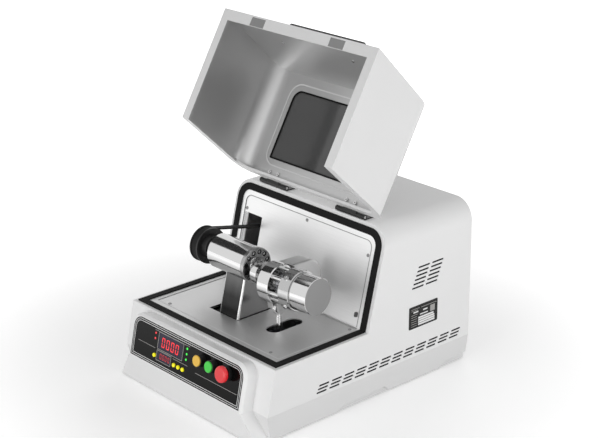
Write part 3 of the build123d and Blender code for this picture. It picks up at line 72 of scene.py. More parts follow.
def makeCamera():
    az, el, roll = cameraView["azimuth"], cameraView["elevation"], cameraView["roll"]
    look = Vector((-math.sin(az) * math.cos(el), math.cos(az) * math.cos(el), -math.sin(el)))
    right = look.cross(Vector((0, 0, 1))).normalized()
    up = right.cross(look)
    across = right * math.cos(roll) + up * math.sin(roll)
    upward = -right * math.sin(roll) + up * math.cos(roll)
    data = bpy.data.cameras.new("photoCamera")
    data.lens = cameraView["lens"]
    data.sensor_width = cameraView["sensor"]
    data.shift_x = cameraView["shiftX"]
    data.shift_y = cameraView["shiftY"]
    data.clip_end = cameraView["farthest"]
    camera = bpy.data.objects.new("photoCamera", data)
    bpy.context.scene.collection.objects.link(camera)
    turn = Matrix((across, upward, -look)).transposed().to_4x4()
    camera.matrix_world = Matrix.Translation(cameraView["place"]) @ turn
    bpy.context.scene.camera = camera


makeCamera()
bpy.context.scene.view_settings.view_transform = "Standard"


# Finishes
def newMaterial(name):
    material = bpy.data.materials.new(name)
    material.use_nodes = True
    tree = material.node_tree
    tree.nodes.clear()
    output = tree.nodes.new("ShaderNodeOutputMaterial")
    shader = tree.nodes.new("ShaderNodeBsdfPrincipled")
    tree.links.new(shader.outputs["BSDF"], output.inputs["Surface"])
    return material, tree, shader


# Noise scales of the finishes, in cells per metre
grains = {"paint": 9, "steel": 6, "glass": 5, "lit": 400, "rubber": 700, "brushLong": 18, "brushFine": 900}


def objectPoint(tree, scale=(1, 1, 1), turn=(0, 0, 0)):
    point = tree.nodes.new("ShaderNodeTexCoord")
    mapping = tree.nodes.new("ShaderNodeMapping")
    mapping.inputs["Scale"].default_value = scale
    mapping.inputs["Rotation"].default_value = turn
    tree.links.new(point.outputs["Object"], mapping.inputs["Vector"])
    return mapping.outputs["Vector"]


def noise(tree, vector, scale, detail=3.0, rough=0.55):
    node = tree.nodes.new("ShaderNodeTexNoise")
    node.inputs["Scale"].default_value = scale
    node.inputs["Detail"].default_value = detail
    node.inputs["Roughness"].default_value = rough
    tree.links.new(vector, node.inputs["Vector"])
    return node.outputs["Fac"]


def spread(tree, value, low, high, least=0.15, most=0.85):
    # noise mostly lies between least and most
    node = tree.nodes.new("ShaderNodeMapRange")
    node.inputs["From Min"].default_value = least
    node.inputs["From Max"].default_value = most
    node.inputs["To Min"].default_value = low
    node.inputs["To Max"].default_value = high
    tree.links.new(value, node.inputs["Value"])
    return node.outputs["Result"]


def tint(tree, value, dark, light):
    # either end is a colour or another node's output
    node = tree.nodes.new("ShaderNodeMix")
    node.data_type = "RGBA"
    for end, socket in ((dark, node.inputs[6]), (light, node.inputs[7])):
        if isinstance(end, tuple):
            socket.default_value = (*end, 1)
        else:
            tree.links.new(end, socket)
    tree.links.new(value, node.inputs[0])
    return node.outputs[2]


def mottle(tree, value, colour, dark, light):
    return tint(tree, spread(tree, value, 0, 1), shade(colour, dark), shade(colour, light))


def calculate(tree, operation, first, second=None):
    # a Math node on another node's output and an output, a number or nothing
    node = tree.nodes.new("ShaderNodeMath")
    node.operation = operation
    tree.links.new(first, node.inputs[0])
    if isinstance(second, (int, float)):
        node.inputs[1].default_value = second
    elif second is not None:
        tree.links.new(second, node.inputs[1])
    return node.outputs["Value"]


def bump(tree, shader, value, strength, distance):
    node = tree.nodes.new("ShaderNodeBump")
    node.inputs["Strength"].default_value = strength
    node.inputs["Distance"].default_value = distance
    tree.links.new(value, node.inputs["Height"])
    tree.links.new(node.outputs["Normal"], shader.inputs["Normal"])


def shade(colour, part):
    return tuple(max(0.0, min(1.0, c * part)) for c in colour)


def paint(
    name, colour, roughness=0.35, spreadBy=0.02, grain=900, grainDepth=0.00002, coat=0.0, metallic=0.0, vary=0.01,
    shine=0.5,
):
    material, tree, shader = newMaterial(name)
    point = objectPoint(tree)
    broad = noise(tree, point, grains["paint"], 3)
    fine = noise(tree, point, grain, 2)
    tree.links.new(mottle(tree, broad, colour, 1 - vary, 1 + vary), shader.inputs["Base Color"])
    tree.links.new(spread(tree, broad, roughness - spreadBy, roughness + spreadBy), shader.inputs["Roughness"])
    shader.inputs["Metallic"].default_value = metallic
    shader.inputs["Coat Weight"].default_value = coat
    shader.inputs["Specular IOR Level"].default_value = shine
    bump(tree, shader, fine, 0.25, grainDepth)
    return material


def brushed(name, colour, roughness, along=(1, 0, 0), depth=0.00003, vary=0.05, metallic=1.0):
    material, tree, shader = newMaterial(name)
    stretch = tuple(grains["brushLong"] if a else grains["brushFine"] for a in along)
    streak = noise(tree, objectPoint(tree, stretch), 1.0, 4, 0.6)
    broad = noise(tree, objectPoint(tree), grains["steel"], 2)
    tree.links.new(mottle(tree, streak, colour, 1 - vary, 1 + vary), shader.inputs["Base Color"])
    tree.links.new(spread(tree, broad, roughness - 0.04, roughness + 0.05), shader.inputs["Roughness"])
    shader.inputs["Metallic"].default_value = metallic
    bump(tree, shader, streak, 0.2, depth)
    return material


def ribbedRubber(name, colour, roughness=0.75, pitch=0.0022, depth=0.00025):
    material, tree, shader = newMaterial(name)
    shader.inputs["Specular IOR Level"].default_value = 0.12
    point = objectPoint(tree, (1, 1, 1), (0, 0, math.radians(45)))
    wave = tree.nodes.new("ShaderNodeTexWave")
    wave.inputs["Scale"].default_value = 1 / pitch / math.tau * 2
    wave.inputs["Distortion"].default_value = 0.4
    tree.links.new(point, wave.inputs["Vector"])
    grain = noise(tree, point, grains["rubber"], 2)
    tree.links.new(mottle(tree, grain, colour, 0.8, 1.3), shader.inputs["Base Color"])
    tree.links.new(spread(tree, grain, roughness - 0.06, roughness + 0.08), shader.inputs["Roughness"])
    bump(tree, shader, wave.outputs["Fac"], 0.35, depth)
    return material


def glow(name, colour, strength, roughness=0.3):
    material, tree, shader = newMaterial(name)
    grain = noise(tree, objectPoint(tree), grains["lit"], 2)
    tree.links.new(mottle(tree, grain, colour, 0.92, 1.05), shader.inputs["Base Color"])
    shader.inputs["Roughness"].default_value = roughness
    shader.inputs["Emission Color"].default_value = (*colour, 1)
    shader.inputs["Emission Strength"].default_value = strength
    return material


def smokedGlass(name, colour, alpha):
    material, tree, shader = newMaterial(name)
    haze = noise(tree, objectPoint(tree), grains["glass"], 2)
    tree.links.new(mottle(tree, haze, colour, 0.95, 1.05), shader.inputs["Base Color"])
    tree.links.new(spread(tree, haze, 0.04, 0.09), shader.inputs["Roughness"])
    shader.inputs["Alpha"].default_value = alpha
    return material


# Painted light on the support post: "edge" is a painted highlight on its rounded edges, "side" and "front" are
# painted dark reflections on its flat faces, and "low" and "high" darken the front downwards as painted reflection
postPaintedLightTones = {
    "front": (0.085, 0.085, 0.085),
    "side": (0.30, 0.30, 0.30),
    "edge": (0.52, 0.52, 0.52),
    "low": (0.222, 0.25, 0.45),  # height in metres, and the front's tones there as shares of its colour
    "high": (0.262, 0.9, 1.5),
    "flatX": 0.99,
    "flatY": 0.966,
    "streaks": (60, 60, 3),
    "roughness": 0.2,
}


def paintedLightSteel(name):
    # the colour is painted light: a painted highlight on the rounded edges, painted dark reflections on the flat
    # faces, and a painted reflection that darkens the front downwards
    t = postPaintedLightTones
    material, tree, shader = newMaterial(name)
    point = tree.nodes.new("ShaderNodeTexCoord")
    facing = tree.nodes.new("ShaderNodeSeparateXYZ")
    tree.links.new(point.outputs["Normal"], facing.inputs["Vector"])
    sideFace, frontFace = (
        calculate(tree, "GREATER_THAN", calculate(tree, "ABSOLUTE", facing.outputs[axis]), least)
        for axis, least in (("X", t["flatX"]), ("Y", t["flatY"]))
    )
    streak = noise(tree, objectPoint(tree, t["streaks"]), 1.0, 3)
    place = tree.nodes.new("ShaderNodeSeparateXYZ")
    tree.links.new(point.outputs["Object"], place.inputs["Vector"])
    (lowZ, *lowShares), (highZ, *highShares) = t["low"], t["high"]
    rise = spread(tree, place.outputs["Z"], 0, 1, lowZ, highZ)
    frontTone = tint(
        tree, rise, mottle(tree, streak, t["front"], *lowShares), mottle(tree, streak, t["front"], *highShares)
    )
    sideTone = tint(tree, sideFace, t["edge"], t["side"])
    tree.links.new(tint(tree, frontFace, sideTone, frontTone), shader.inputs["Base Color"])
    shader.inputs["Metallic"].default_value = 1.0
    shader.inputs["Roughness"].default_value = t["roughness"]
    return material


lampTones = {
    "left": (0.85, 0.03, 0.04),
    "right": (0.05, 0.85, 0.08),
    "split": -0.05,  # across, in metres
    "glow": 0.5,
    "roughness": 0.25,
}


def lampLens(name):
    # red lamps left of the displays, green ones right of them
    t = lampTones
    material, tree, shader = newMaterial(name)
    point = tree.nodes.new("ShaderNodeTexCoord")
    place = tree.nodes.new("ShaderNodeSeparateXYZ")
    tree.links.new(point.outputs["Object"], place.inputs["Vector"])
    side = calculate(tree, "GREATER_THAN", place.outputs["X"], t["split"])
    colours = tint(tree, side, t["left"], t["right"])
    tree.links.new(colours, shader.inputs["Base Color"])
    tree.links.new(colours, shader.inputs["Emission Color"])
    shader.inputs["Emission Strength"].default_value = t["glow"]
    shader.inputs["Roughness"].default_value = t["roughness"]
    return material


finishes = {
    "housingPaint": paint("housingPaint", (0.85, 0.85, 0.85), 0.38, coat=0.1),
    # the skirt's paint is darker than the housing's: painted shade for its inward slope
    "skirtPaintShaded": paint("skirtPaintShaded", (0.76, 0.76, 0.76), 0.42),
    "lidPaint": paint("lidPaint", (0.80, 0.80, 0.80), 0.36, coat=0.1),
    "fasciaPaint": paint("fasciaPaint", (0.84, 0.84, 0.84), 0.34, spreadBy=0.005, vary=0.004),
    "panelFilm": paint(
        "panelFilm", (0.004, 0.004, 0.004), 0.09, vary=0.08, grain=500, grainDepth=0.000002, shine=0.12
    ),
    "deckSteel": brushed("deckSteel", (0.62, 0.62, 0.62), 0.45, (1, 0, 0)),
    "bulkheadSteel": brushed("bulkheadSteel", (0.80, 0.80, 0.80), 0.5, (1, 0, 0)),
    "baseSteel": brushed("baseSteel", (0.45, 0.45, 0.46), 0.5, (0, 1, 0)),
    "gasketRubber": ribbedRubber("gasketRubber", (0.011, 0.011, 0.011)),
    "beltRubber": ribbedRubber("beltRubber", (0.014, 0.014, 0.014), 0.6),
    "sealRubber": paint("sealRubber", (0.005, 0.005, 0.005), 0.5, vary=0.1, shine=0.1),
    "footRubber": paint("footRubber", (0.02, 0.02, 0.02), 0.8, vary=0.1, shine=0.2),
    "blackPlastic": paint("blackPlastic", (0.01, 0.01, 0.01), 0.35, vary=0.1, grain=1500, shine=0.25),
    "handleBlack": paint("handleBlack", (0.016, 0.016, 0.016), 0.45, vary=0.1, grain=1500),
    "blackIron": brushed("blackIron", (0.03, 0.03, 0.03), 0.38, (1, 0, 0), metallic=0.6),
    "displayWindow": paint("displayWindow", (0.016, 0.013, 0.034), 0.2, vary=0.06, shine=0.25),
    "lampLens": lampLens("lampLens"),
    "yellowCap": paint("yellowCap", (0.84, 0.50, 0.045), 0.3, vary=0.04, coat=0.1),
    "greenCap": paint("greenCap", (0.03, 0.62, 0.04), 0.28, vary=0.04, coat=0.1),
    "redCap": paint("redCap", (0.82, 0.025, 0.035), 0.2, vary=0.04, coat=0.25, shine=0.35),
    # the yellow keys are no lamps: their glow is painted light that brightens their yellow
    "keyYellowPaintedGlow": glow("keyYellowPaintedGlow", (0.9, 0.82, 0.0), 0.3),
    "smokedGlass": smokedGlass("smokedGlass", (0.075, 0.075, 0.075), 0.93),
    "plateFilm": paint("plateFilm", (0.012, 0.012, 0.012), 0.35, vary=0.08, shine=0.2),
    "polished": brushed("polished", (0.67, 0.67, 0.67), 0.09, (0, 1, 0), 0.000001, 0.01),
    "turned": brushed("turned", (0.64, 0.64, 0.64), 0.14, (0, 1, 1), 0.000002, 0.02),
    "postSteelPaintedLight": paintedLightSteel("postSteelPaintedLight"),
    "satinCast": brushed("satinCast", (0.45, 0.45, 0.46), 0.33, (0, 0, 1)),
    "vialFace": paint("vialFace", (0.24, 0.24, 0.24), 0.45, metallic=0.5, vary=0.02),
    "coverSteel": brushed("coverSteel", (0.40, 0.40, 0.40), 0.25, (1, 0, 0), 0.00001),
    "coverScrew": brushed("coverScrew", (0.7, 0.7, 0.7), 0.15, (1, 0, 0), 0.000002),
    "armSteel": brushed("armSteel", (0.50, 0.50, 0.50), 0.28, (1, 0, 0), 0.00002),
    "ringSteel": brushed("ringSteel", (0.50, 0.50, 0.50), 0.12, (0, 1, 1), 0.000002),
    "lidInside": paint("lidInside", (0.54, 0.54, 0.54), 0.38, metallic=0.7),
    "bearingSteel": brushed("bearingSteel", (0.6, 0.6, 0.62), 0.2, (1, 0, 0)),
    "screwSteel": brushed("screwSteel", (0.6, 0.6, 0.6), 0.22, (1, 0, 0), 0.000005),
    "panelScrew": brushed("panelScrew", (0.28, 0.28, 0.28), 0.4, (1, 0, 0), metallic=0.6),
    "catchSteel": brushed("catchSteel", (0.26, 0.26, 0.26), 0.5, (1, 0, 0), metallic=0.3),
    "motorPaint": paint("motorPaint", (0.05, 0.05, 0.055), 0.5, vary=0.1),
    "driveCase": brushed("driveCase", (0.2, 0.21, 0.23), 0.45, (0, 1, 0)),
    "digitRed": glow("digitRed", (0.85, 0.02, 0.03), 0.7),
    "digitDim": glow("digitDim", (0.55, 0.012, 0.02), 0.35),
    "panelLine": paint("panelLine", (0.80, 0.80, 0.80), 0.4, vary=0.03),
    "frameLine": paint("frameLine", (0.36, 0.35, 0.34), 0.4, vary=0.05),
    "trimSoft": paint("trimSoft", (0.66, 0.66, 0.66), 0.4, vary=0.03),
    "trimGrey": paint("trimGrey", (0.26, 0.26, 0.26), 0.45, vary=0.03),
    "sensorGrey": paint("sensorGrey", (0.08, 0.08, 0.08), 0.4, vary=0.05),
    "boardBlack": paint("boardBlack", (0.05, 0.05, 0.05), 0.8, shine=0.1),
    # near-black, used as painted shade behind the vents and in the bearing cover's screw wells
    "paintedShadeBlack": paint("paintedShadeBlack", (0.01, 0.01, 0.01), 0.8, vary=0.1, shine=0.1),
}
nodeFinish = {
    "main_housing": "housingPaint",
    "base_skirt": "skirtPaintShaded",
    "base_plate": "skirtPaintShaded",
    "rubber_feet": "footRubber",
    "front_fascia": "fasciaPaint",
    "control_panel": "panelFilm",
    "number_displays": "displayWindow",
    "indicator_leds": "lampLens",
    "button_collars": "blackPlastic",
    "deck_plate": "deckSteel",
    "bulkhead_panel": "bulkheadSteel",
    "panel_screws": "panelScrew",
    "interlock_sensor": "sensorGrey",
    "lid_gasket": "gasketRubber",
    "rear_panel": "baseSteel",
    "power_inlet": "blackPlastic",
    "rating_plate": "plateFilm",
    "support_post": "postSteelPaintedLight",
    "bearing_housing": "polished",
    "shaft_bearings": "bearingSteel",
    "bearing_cover": "coverSteel",
    "cover_screws": "coverScrew",
    "motor_body": "motorPaint",
    "motor_bracket": "baseSteel",
    "drive_belt": "beltRubber",
    "link_bracket": "satinCast",
    "motor_drive": "driveCase",
    "hinge_bases": "blackIron",
    "hinge_pins": "screwSteel",
    "key_set": "keyYellowPaintedGlow",
    "key_shift": "keyYellowPaintedGlow",
    "key_down": "keyYellowPaintedGlow",
    "key_up": "keyYellowPaintedGlow",
    "pause_button": "yellowCap",
    "start_button": "greenCap",
    "estop_plunger": "blackPlastic",
    "estop_head": "redCap",
    "power_rocker": "blackPlastic",
    "lid_shell": "lidPaint",
    "window_seal": "sealRubber",
    "window_glass": "smokedGlass",
    "lid_handle": "handleBlack",
    "lid_screws": "screwSteel",
    "catch_plates": "catchSteel",
    "hinge_leaves": "blackIron",
    "main_shaft": "turned",
    "driven_pulley": "blackIron",
    "motor_shaft": "turned",
    "motor_pulley": "blackIron",
    "wobble_hub": "polished",
    "hub_bearing": "bearingSteel",
    "clamp_ring": "ringSteel",
    "clamp_screws": "screwSteel",
    "rear_arm": "armSteel",
    "link_pin": "screwSteel",
    "link_ball": "bearingSteel",
    "link_rod": "turned",
    "vial_body": "polished",
    "vial_cap": "turned",
    "grinding_balls": "bearingSteel",
}
for nodeName, node in nodes.items():
    node.data.materials.clear()
    node.data.materials.append(finishes[nodeFinish[nodeName]])
print("finishes set")


# Helpers for pieces
def addPiece(name, bm, finish, body, smooth=0):
    mesh = bpy.data.meshes.new(name)
    bm.to_mesh(mesh)
    bm.free()
    mesh.materials.append(finishes[finish])
    piece = bpy.data.objects.new(name, mesh)
    bpy.context.scene.collection.objects.link(piece)
    if smooth:
        mesh.shade_smooth()
        mesh.set_sharp_from_angle(angle=math.radians(smooth))
    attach(piece, body)
    return piece


def steadyNormals(mesh, widest):
    # flat faces keep their own direction and the narrow edges between them bend
    around = [[] for _ in mesh.vertices]
    for face in mesh.polygons:
        for index in face.vertices:
            around[index].append((face.normal.copy(), face.area))
    limit = math.cos(math.radians(widest))
    normals = []
    for face in mesh.polygons:
        for index in face.vertices:
            total = Vector()
            for direction, area in around[index]:
                if face.normal.dot(direction) > limit:
                    total += direction * area
            normals.append(total.normalized())
    mesh.normals_split_custom_set(normals)


def raiseFaces(bm, faces, thick):
    made = bmesh.ops.extrude_face_region(bm, geom=faces)
    top = [v for v in made["geom"] if isinstance(v, bmesh.types.BMVert)]
    bmesh.ops.translate(bm, verts=top, vec=(0, 0, thick))


def addBlock(bm, low, high):
    made = bmesh.ops.create_cube(bm, size=1)
    bmesh.ops.scale(bm, verts=made["verts"], vec=[b - a for a, b in zip(low, high)])
    bmesh.ops.translate(bm, verts=made["verts"], vec=[(a + b) / 2 for a, b in zip(low, high)])


def within(vert, boxes):
    return any(all(low[k] <= vert.co[k] <= high[k] for k in range(3)) for low, high in boxes)


# What counts as one point, as flat and as sharp, and up to how many degrees a bend looks round
softEdges = {"merge": 0.00001, "flat": math.radians(0.4), "sharp": math.radians(28), "smooth": 60}


def softCopy(node, spec, keepSharp=()):
    # a copy of a CAD node with its sharp edges bevelled, which takes the node's place
    e = softEdges
    bm = bmesh.new()
    bm.from_mesh(nodes[node].data)
    bmesh.ops.remove_doubles(bm, verts=bm.verts, dist=e["merge"])
    bmesh.ops.dissolve_limit(bm, angle_limit=e["flat"], verts=bm.verts, edges=bm.edges)
    edges = [
        edge for edge in bm.edges
        if len(edge.link_faces) == 2 and edge.calc_face_angle(0) > e["sharp"]
        and not any(within(v, keepSharp) for v in edge.verts)
    ]
    bmesh.ops.bevel(
        bm, geom=edges, offset=spec["width"], offset_type="OFFSET", segments=spec["segments"], profile=0.5,
        affect="EDGES", clamp_overlap=True, material=-1,
    )
    piece = addPiece(spec["name"], bm, nodeFinish[node], spec["body"], e["smooth"])
    steadyNormals(piece.data, e["smooth"])
    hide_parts(node)
    return piece


def planeFrame(origin, across, up):
    out = across.cross(up)
    turn = Matrix((across, up, out)).transposed().to_4x4()
    return Matrix.Translation(origin) @ turn


# The control panel's plane
lean = shape["frontLean"]
panelOut = Vector((0, -math.cos(lean), math.sin(lean)))
panelUp = Vector((0, math.sin(lean), math.cos(lean)))
panelOrigin = Vector((0, shape["frontY"] - shape["ledge"], shape["deckZ"])) + panelOut * shape["panelOut"]
panelFrame = planeFrame(panelOrigin, Vector((1, 0, 0)), panelUp)
panelFall = shape["panelOut"] * math.tan(lean)


def roundedPoints(x0, y0, x1, y1, radii, steps=8):
    # corners in the order lower left, lower right, upper right, upper left
    corners = [(x0, y0, 180), (x1, y0, 270), (x1, y1, 0), (x0, y1, 90)]
    points = []
    for (x, y, start), r in zip(corners, radii):
        cx = x + r if x == x0 else x - r
        cy = y + r if y == y0 else y - r
        count = steps if r > 0 else 0
        for k in range(count + 1):
            a = math.radians(start + 90 * k / max(count, 1))
            points.append((cx + r * math.cos(a), cy + r * math.sin(a)))
    return points


def addBand(bm, outer, inner, thick):
    # a flat band between two outlines with the same number of points
    rings = []
    for points in (outer, inner):
        verts = [bm.verts.new((x, y, 0)) for x, y in points]
        rings.append([bm.edges.new((a, b)) for a, b in zip(verts, verts[1:] + verts[:1])])
    made = bmesh.ops.bridge_loops(bm, edges=rings[0] + rings[1])
    raiseFaces(bm, made["faces"], thick)
    bmesh.ops.recalc_face_normals(bm, faces=bm.faces)


def addFrame(bm, x0, y0, x1, y1, radii, wide, thick, steps=8):
    # a raised line of one width that follows a rounded rectangle inside its edge
    inner = [max(r - wide, 0.0001) if r else 0 for r in radii]
    addBand(
        bm, roundedPoints(x0, y0, x1, y1, radii, steps),
        roundedPoints(x0 + wide, y0 + wide, x1 - wide, y1 - wide, inner, steps), thick,
    )


# Control panel lines
panelLines = {
    "half": 0.199,
    "top": 0.0123,
    "high": 0.098,
    "round": 0.026,
    "insets": (0.0030, 0.0076),
    "lineWide": 0.0013,
    "thick": 0.0002,
}


def onPanel(x, down):
    return x, -down - panelFall


def makePanelLines():
    bm = bmesh.new()
    p = panelLines
    for inset in p["insets"]:
        addFrame(
            bm, -p["half"] + inset, -p["top"] - p["high"] + inset, p["half"] - inset, -p["top"] - inset,
            (0, 0, p["round"] - inset, p["round"] - inset), p["lineWide"], p["thick"],
        )
    bmesh.ops.transform(bm, matrix=panelFrame, verts=bm.verts)
    addPiece("panelBorderLines", bm, "panelLine", "cabinet")


makePanelLines()

displayFrames = {
    "upper": {
        "centre": (-0.0575, 0.0388), "wide": 0.0900, "high": 0.0385,
        "digit": 0.0232, "pitch": 0.0169, "first": -0.0838, "row": 0.0397, "finish": "digitRed",
    },
    "lower": {
        "centre": (-0.0765, 0.0742), "wide": 0.0510, "high": 0.0220,
        "digit": 0.0128, "pitch": 0.0097, "first": -0.0872, "row": 0.0738, "finish": "digitDim",
    },
}
displayLines = {"margin": 0.0014, "round": 0.002, "wide": 0.0011, "thick": 0.0006, "steps": 4}
digitShape = {
    "count": 4,
    "wide": 0.46,  # width and bar as shares of the height
    "bar": 0.09,
    "endGap": 0.6,  # what each level and upright bar is shorter by, as shares of the bar's width
    "sideGap": 0.5,
    "thick": 0.0003,
    "proud": 0.0004,
}


def addBar(bm, x, y, long, wide, upright, thick):
    # one pointed bar of a digit
    half, w = long / 2, wide / 2
    tips = [(-half, 0), (-half + w, -w), (half - w, -w), (half, 0), (half - w, w), (-half + w, w)]
    verts = []
    for a, b in tips:
        px, py = (b, a) if upright else (a, b)
        verts.append(bm.verts.new((x + px, y + py, 0)))
    raiseFaces(bm, [bm.faces.new(verts if not upright else verts[::-1])], thick)


def makeDisplays():
    d, g = displayLines, digitShape
    lines = bmesh.new()
    for name, spec in displayFrames.items():
        cx, cy = onPanel(*spec["centre"])
        w, h = spec["wide"] / 2 + d["margin"], spec["high"] / 2 + d["margin"]
        addFrame(lines, cx - w, cy - h, cx + w, cy + h, (d["round"],) * 4, d["wide"], d["thick"], d["steps"])
        digits = bmesh.new()
        tall = spec["digit"]
        wide, bar = tall * g["wide"], tall * g["bar"]
        for k in range(g["count"]):
            x, y = onPanel(spec["first"] + k * spec["pitch"], spec["row"])
            for dy in (-1, 1):
                addBar(digits, x, y + dy * (tall - bar) / 2, wide - bar * g["endGap"], bar, False, g["thick"])
                for dx in (-1, 1):
                    barX, barY = x + dx * (wide - bar) / 2, y + dy * tall / 4
                    addBar(digits, barX, barY, tall / 2 - bar * g["sideGap"], bar, True, g["thick"])
        bmesh.ops.recalc_face_normals(digits, faces=digits.faces)
        bmesh.ops.translate(digits, verts=digits.verts, vec=(0, 0, g["proud"]))
        bmesh.ops.transform(digits, matrix=panelFrame, verts=digits.verts)
        addPiece(name + "Digits", digits, spec["finish"], "cabinet")
    bmesh.ops.transform(lines, matrix=panelFrame, verts=lines.verts)
    addPiece("displayFrames", lines, "frameLine", "cabinet")


makeDisplays()

panelRules = {
    "thick": 0.0002,
    "wide": 0.0010,
    # from and to, as across and down on the panel
    "runs": (
        ((-0.176, 0.0605), (-0.111, 0.0605)),
        ((-0.0445, 0.0640), (0.010, 0.0640)),
        ((0.040, 0.0700), (0.186, 0.0700)),
        ((-0.120, 0.0180), (0.010, 0.0180)),
    ),
    "hatchFrom": (-0.104, 0.0605),
    "hatchTo": (-0.052, 0.0640),
    "hatchCount": 16,
    "hatchSlant": 0.0022,
    "hatchWide": 0.0009,
}


def addRule(bm, start, end, wide, thick):
    (x0, d0), (x1, d1) = start, end
    a, b = Vector(onPanel(x0, d0)), Vector(onPanel(x1, d1))
    side = (b - a).normalized().orthogonal() * wide / 2
    verts = [bm.verts.new((*point, 0)) for point in (a - side, b - side, b + side, a + side)]
    raiseFaces(bm, [bm.faces.new(verts)], thick)


def makePanelRules():
    r = panelRules
    lines = bmesh.new()
    for start, end in r["runs"]:
        addRule(lines, start, end, r["wide"], r["thick"])
    (x0, d0), (x1, d1) = r["hatchFrom"], r["hatchTo"]
    for k in range(r["hatchCount"]):
        x = x0 + (x1 - x0) * k / (r["hatchCount"] - 1)
        addRule(lines, (x, d1), (x + r["hatchSlant"], d0), r["hatchWide"], r["thick"])
    bmesh.ops.recalc_face_normals(lines, faces=lines.faces)
    bmesh.ops.transform(lines, matrix=panelFrame, verts=lines.verts)
    addPiece("panelRules", lines, "frameLine", "cabinet")


makePanelRules()
print("control panel drawn")


# Chamber trim, liners and rating plate
chamberTrim = {
    "gasketInner": 0.2328,
    "plateEdge": 0.2192,
    "front": 0.0172,
    "plateFront": 0.0352,
    "rear": 0.2675,
    "rearStep": 0.0004,
    "wallFoot": 0.0036,
    "wallTop": 0.2184,
    "plateTop": 0.2052,
    "thick": 0.0003,
    "roundOuter": 0.0238,
    "roundInner": 0.0165,
    "lineWide": 0.0018,
    "lineThick": 0.0006,
}


def deckOutline(half, front, rear):
    return roundedPoints(-half, front, half, rear, (0, 0, 0, 0))


def wallOutline(half, top, corner):
    return roundedPoints(-half, chamberTrim["wallFoot"], half, top, (0, 0, corner, corner))


def makeChamberTrim():
    # a band beside the gasket and a thin line beside the plate, on the deck and on the bulkhead; the pale line on
    # the deck is a painted highlight along the plate's edge
    t = chamberTrim
    edge, wide = t["plateEdge"], t["lineWide"]
    deckFrame = Matrix.Translation((0, shape["frontY"], shape["deckZ"]))
    bulkUp = Vector((0, math.sin(shape["bulkLean"]), math.cos(shape["bulkLean"])))
    bulkFoot = Vector((0, shape["frontY"] + shape["deckDepth"], shape["deckZ"]))
    bulkFrame = planeFrame(bulkFoot, Vector((1, 0, 0)), bulkUp)
    deckPlate = deckOutline(edge, t["plateFront"], t["rear"] - t["rearStep"])
    wallPlate = wallOutline(edge, t["plateTop"], t["roundInner"])
    trims = (
        (
            "deckTrim", "deckSteel", deckOutline(t["gasketInner"], t["front"], t["rear"]),
            deckPlate, t["thick"], deckFrame,
        ),
        (
            "bulkheadTrim", "bulkheadSteel", wallOutline(t["gasketInner"], t["wallTop"], t["roundOuter"]),
            wallPlate, t["thick"], bulkFrame,
        ),
        (
            "deckTrimHighlight", "trimSoft", deckOutline(edge + wide, t["plateFront"] - wide, t["rear"]),
            deckPlate, t["lineThick"], deckFrame,
        ),
        (
            "bulkheadTrimLine", "trimGrey", wallOutline(edge + wide, t["plateTop"] + wide, t["roundInner"] + wide),
            wallPlate, t["lineThick"], bulkFrame,
        ),
    )
    for name, finish, outer, inner, thick, place in trims:
        bm = bmesh.new()
        addBand(bm, outer, inner, thick)
        bmesh.ops.transform(bm, matrix=place, verts=bm.verts)
        addPiece(name, bm, finish, "cabinet")


makeChamberTrim()

# painted shade: a near-black panel inside the housing behind each group of vents
ventShadePanels = {
    "inset": 0.0016,
    "thick": 0.001,
    # back and up, in metres, of the field behind each group of vents
    "boxes": (((-0.165, 0.320), (0.072, 0.100)), ((0.138, 0.254), (0.238, 0.298))),
    "reach": 0.006,  # edges this near the side's face stay sharp there
}


def makeVentShadePanels():
    bm = bmesh.new()
    v = ventShadePanels
    x = shape["halfWidth"] - v["inset"]
    for side in (-1, 1):
        for (y0, y1), (z0, z1) in v["boxes"]:
            addBlock(bm, (side * x - v["thick"] / 2, y0, z0), (side * x + v["thick"] / 2, y1, z1))
    addPiece("ventShadePanels", bm, "paintedShadeBlack", "cabinet")


makeVentShadePanels()

ratingFields = {
    "thick": 0.0002,
    "proud": 0.00004,
    # across from the left and up from the bottom of the plate, as shares of its size
    "pale": (
        (0.32, 0.08, 0.90, 0.16), (0.32, 0.18, 0.90, 0.26), (0.32, 0.28, 0.89, 0.36), (0.32, 0.38, 0.86, 0.46),
        (0.49, 0.68, 0.64, 0.74), (0.15, 0.69, 0.32, 0.75), (0.38, 0.53, 0.66, 0.58),
    ),
    "grey": (
        (0.74, 0.51, 0.90, 0.79), (0.42, 0.85, 0.96, 0.87), (0.08, 0.86, 0.36, 0.88), (0.08, 0.79, 0.30, 0.81),
        (0.08, 0.60, 0.30, 0.62), (0.08, 0.50, 0.27, 0.52), (0.08, 0.40, 0.27, 0.42), (0.08, 0.30, 0.27, 0.32),
        (0.08, 0.20, 0.27, 0.22), (0.08, 0.10, 0.27, 0.12),
    ),
}


def makeRatingFields():
    low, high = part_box("rating_plate")
    face = high.x + ratingFields["proud"]
    for tone, finish in (("pale", "panelLine"), ("grey", "frameLine")):
        bm = bmesh.new()
        for u0, v0, u1, v1 in ratingFields[tone]:
            y0, y1 = (low.y + (high.y - low.y) * u for u in (u0, u1))
            z0, z1 = (low.z + (high.z - low.z) * v for v in (v0, v1))
            addBlock(bm, (face - ratingFields["thick"], y0, z0), (face, y1, z1))
        addPiece(tone + "Fields", bm, finish, "cabinet")


makeRatingFields()

vialEnd = {
    "along": (1.0, 0.07, 0.02),
    "hub": (0.088, -0.1227, 0.2847),
    "reach": 0.1311,
    "radius": 0.0424,
    "sides": 96,
    "thick": 0.0002,
}


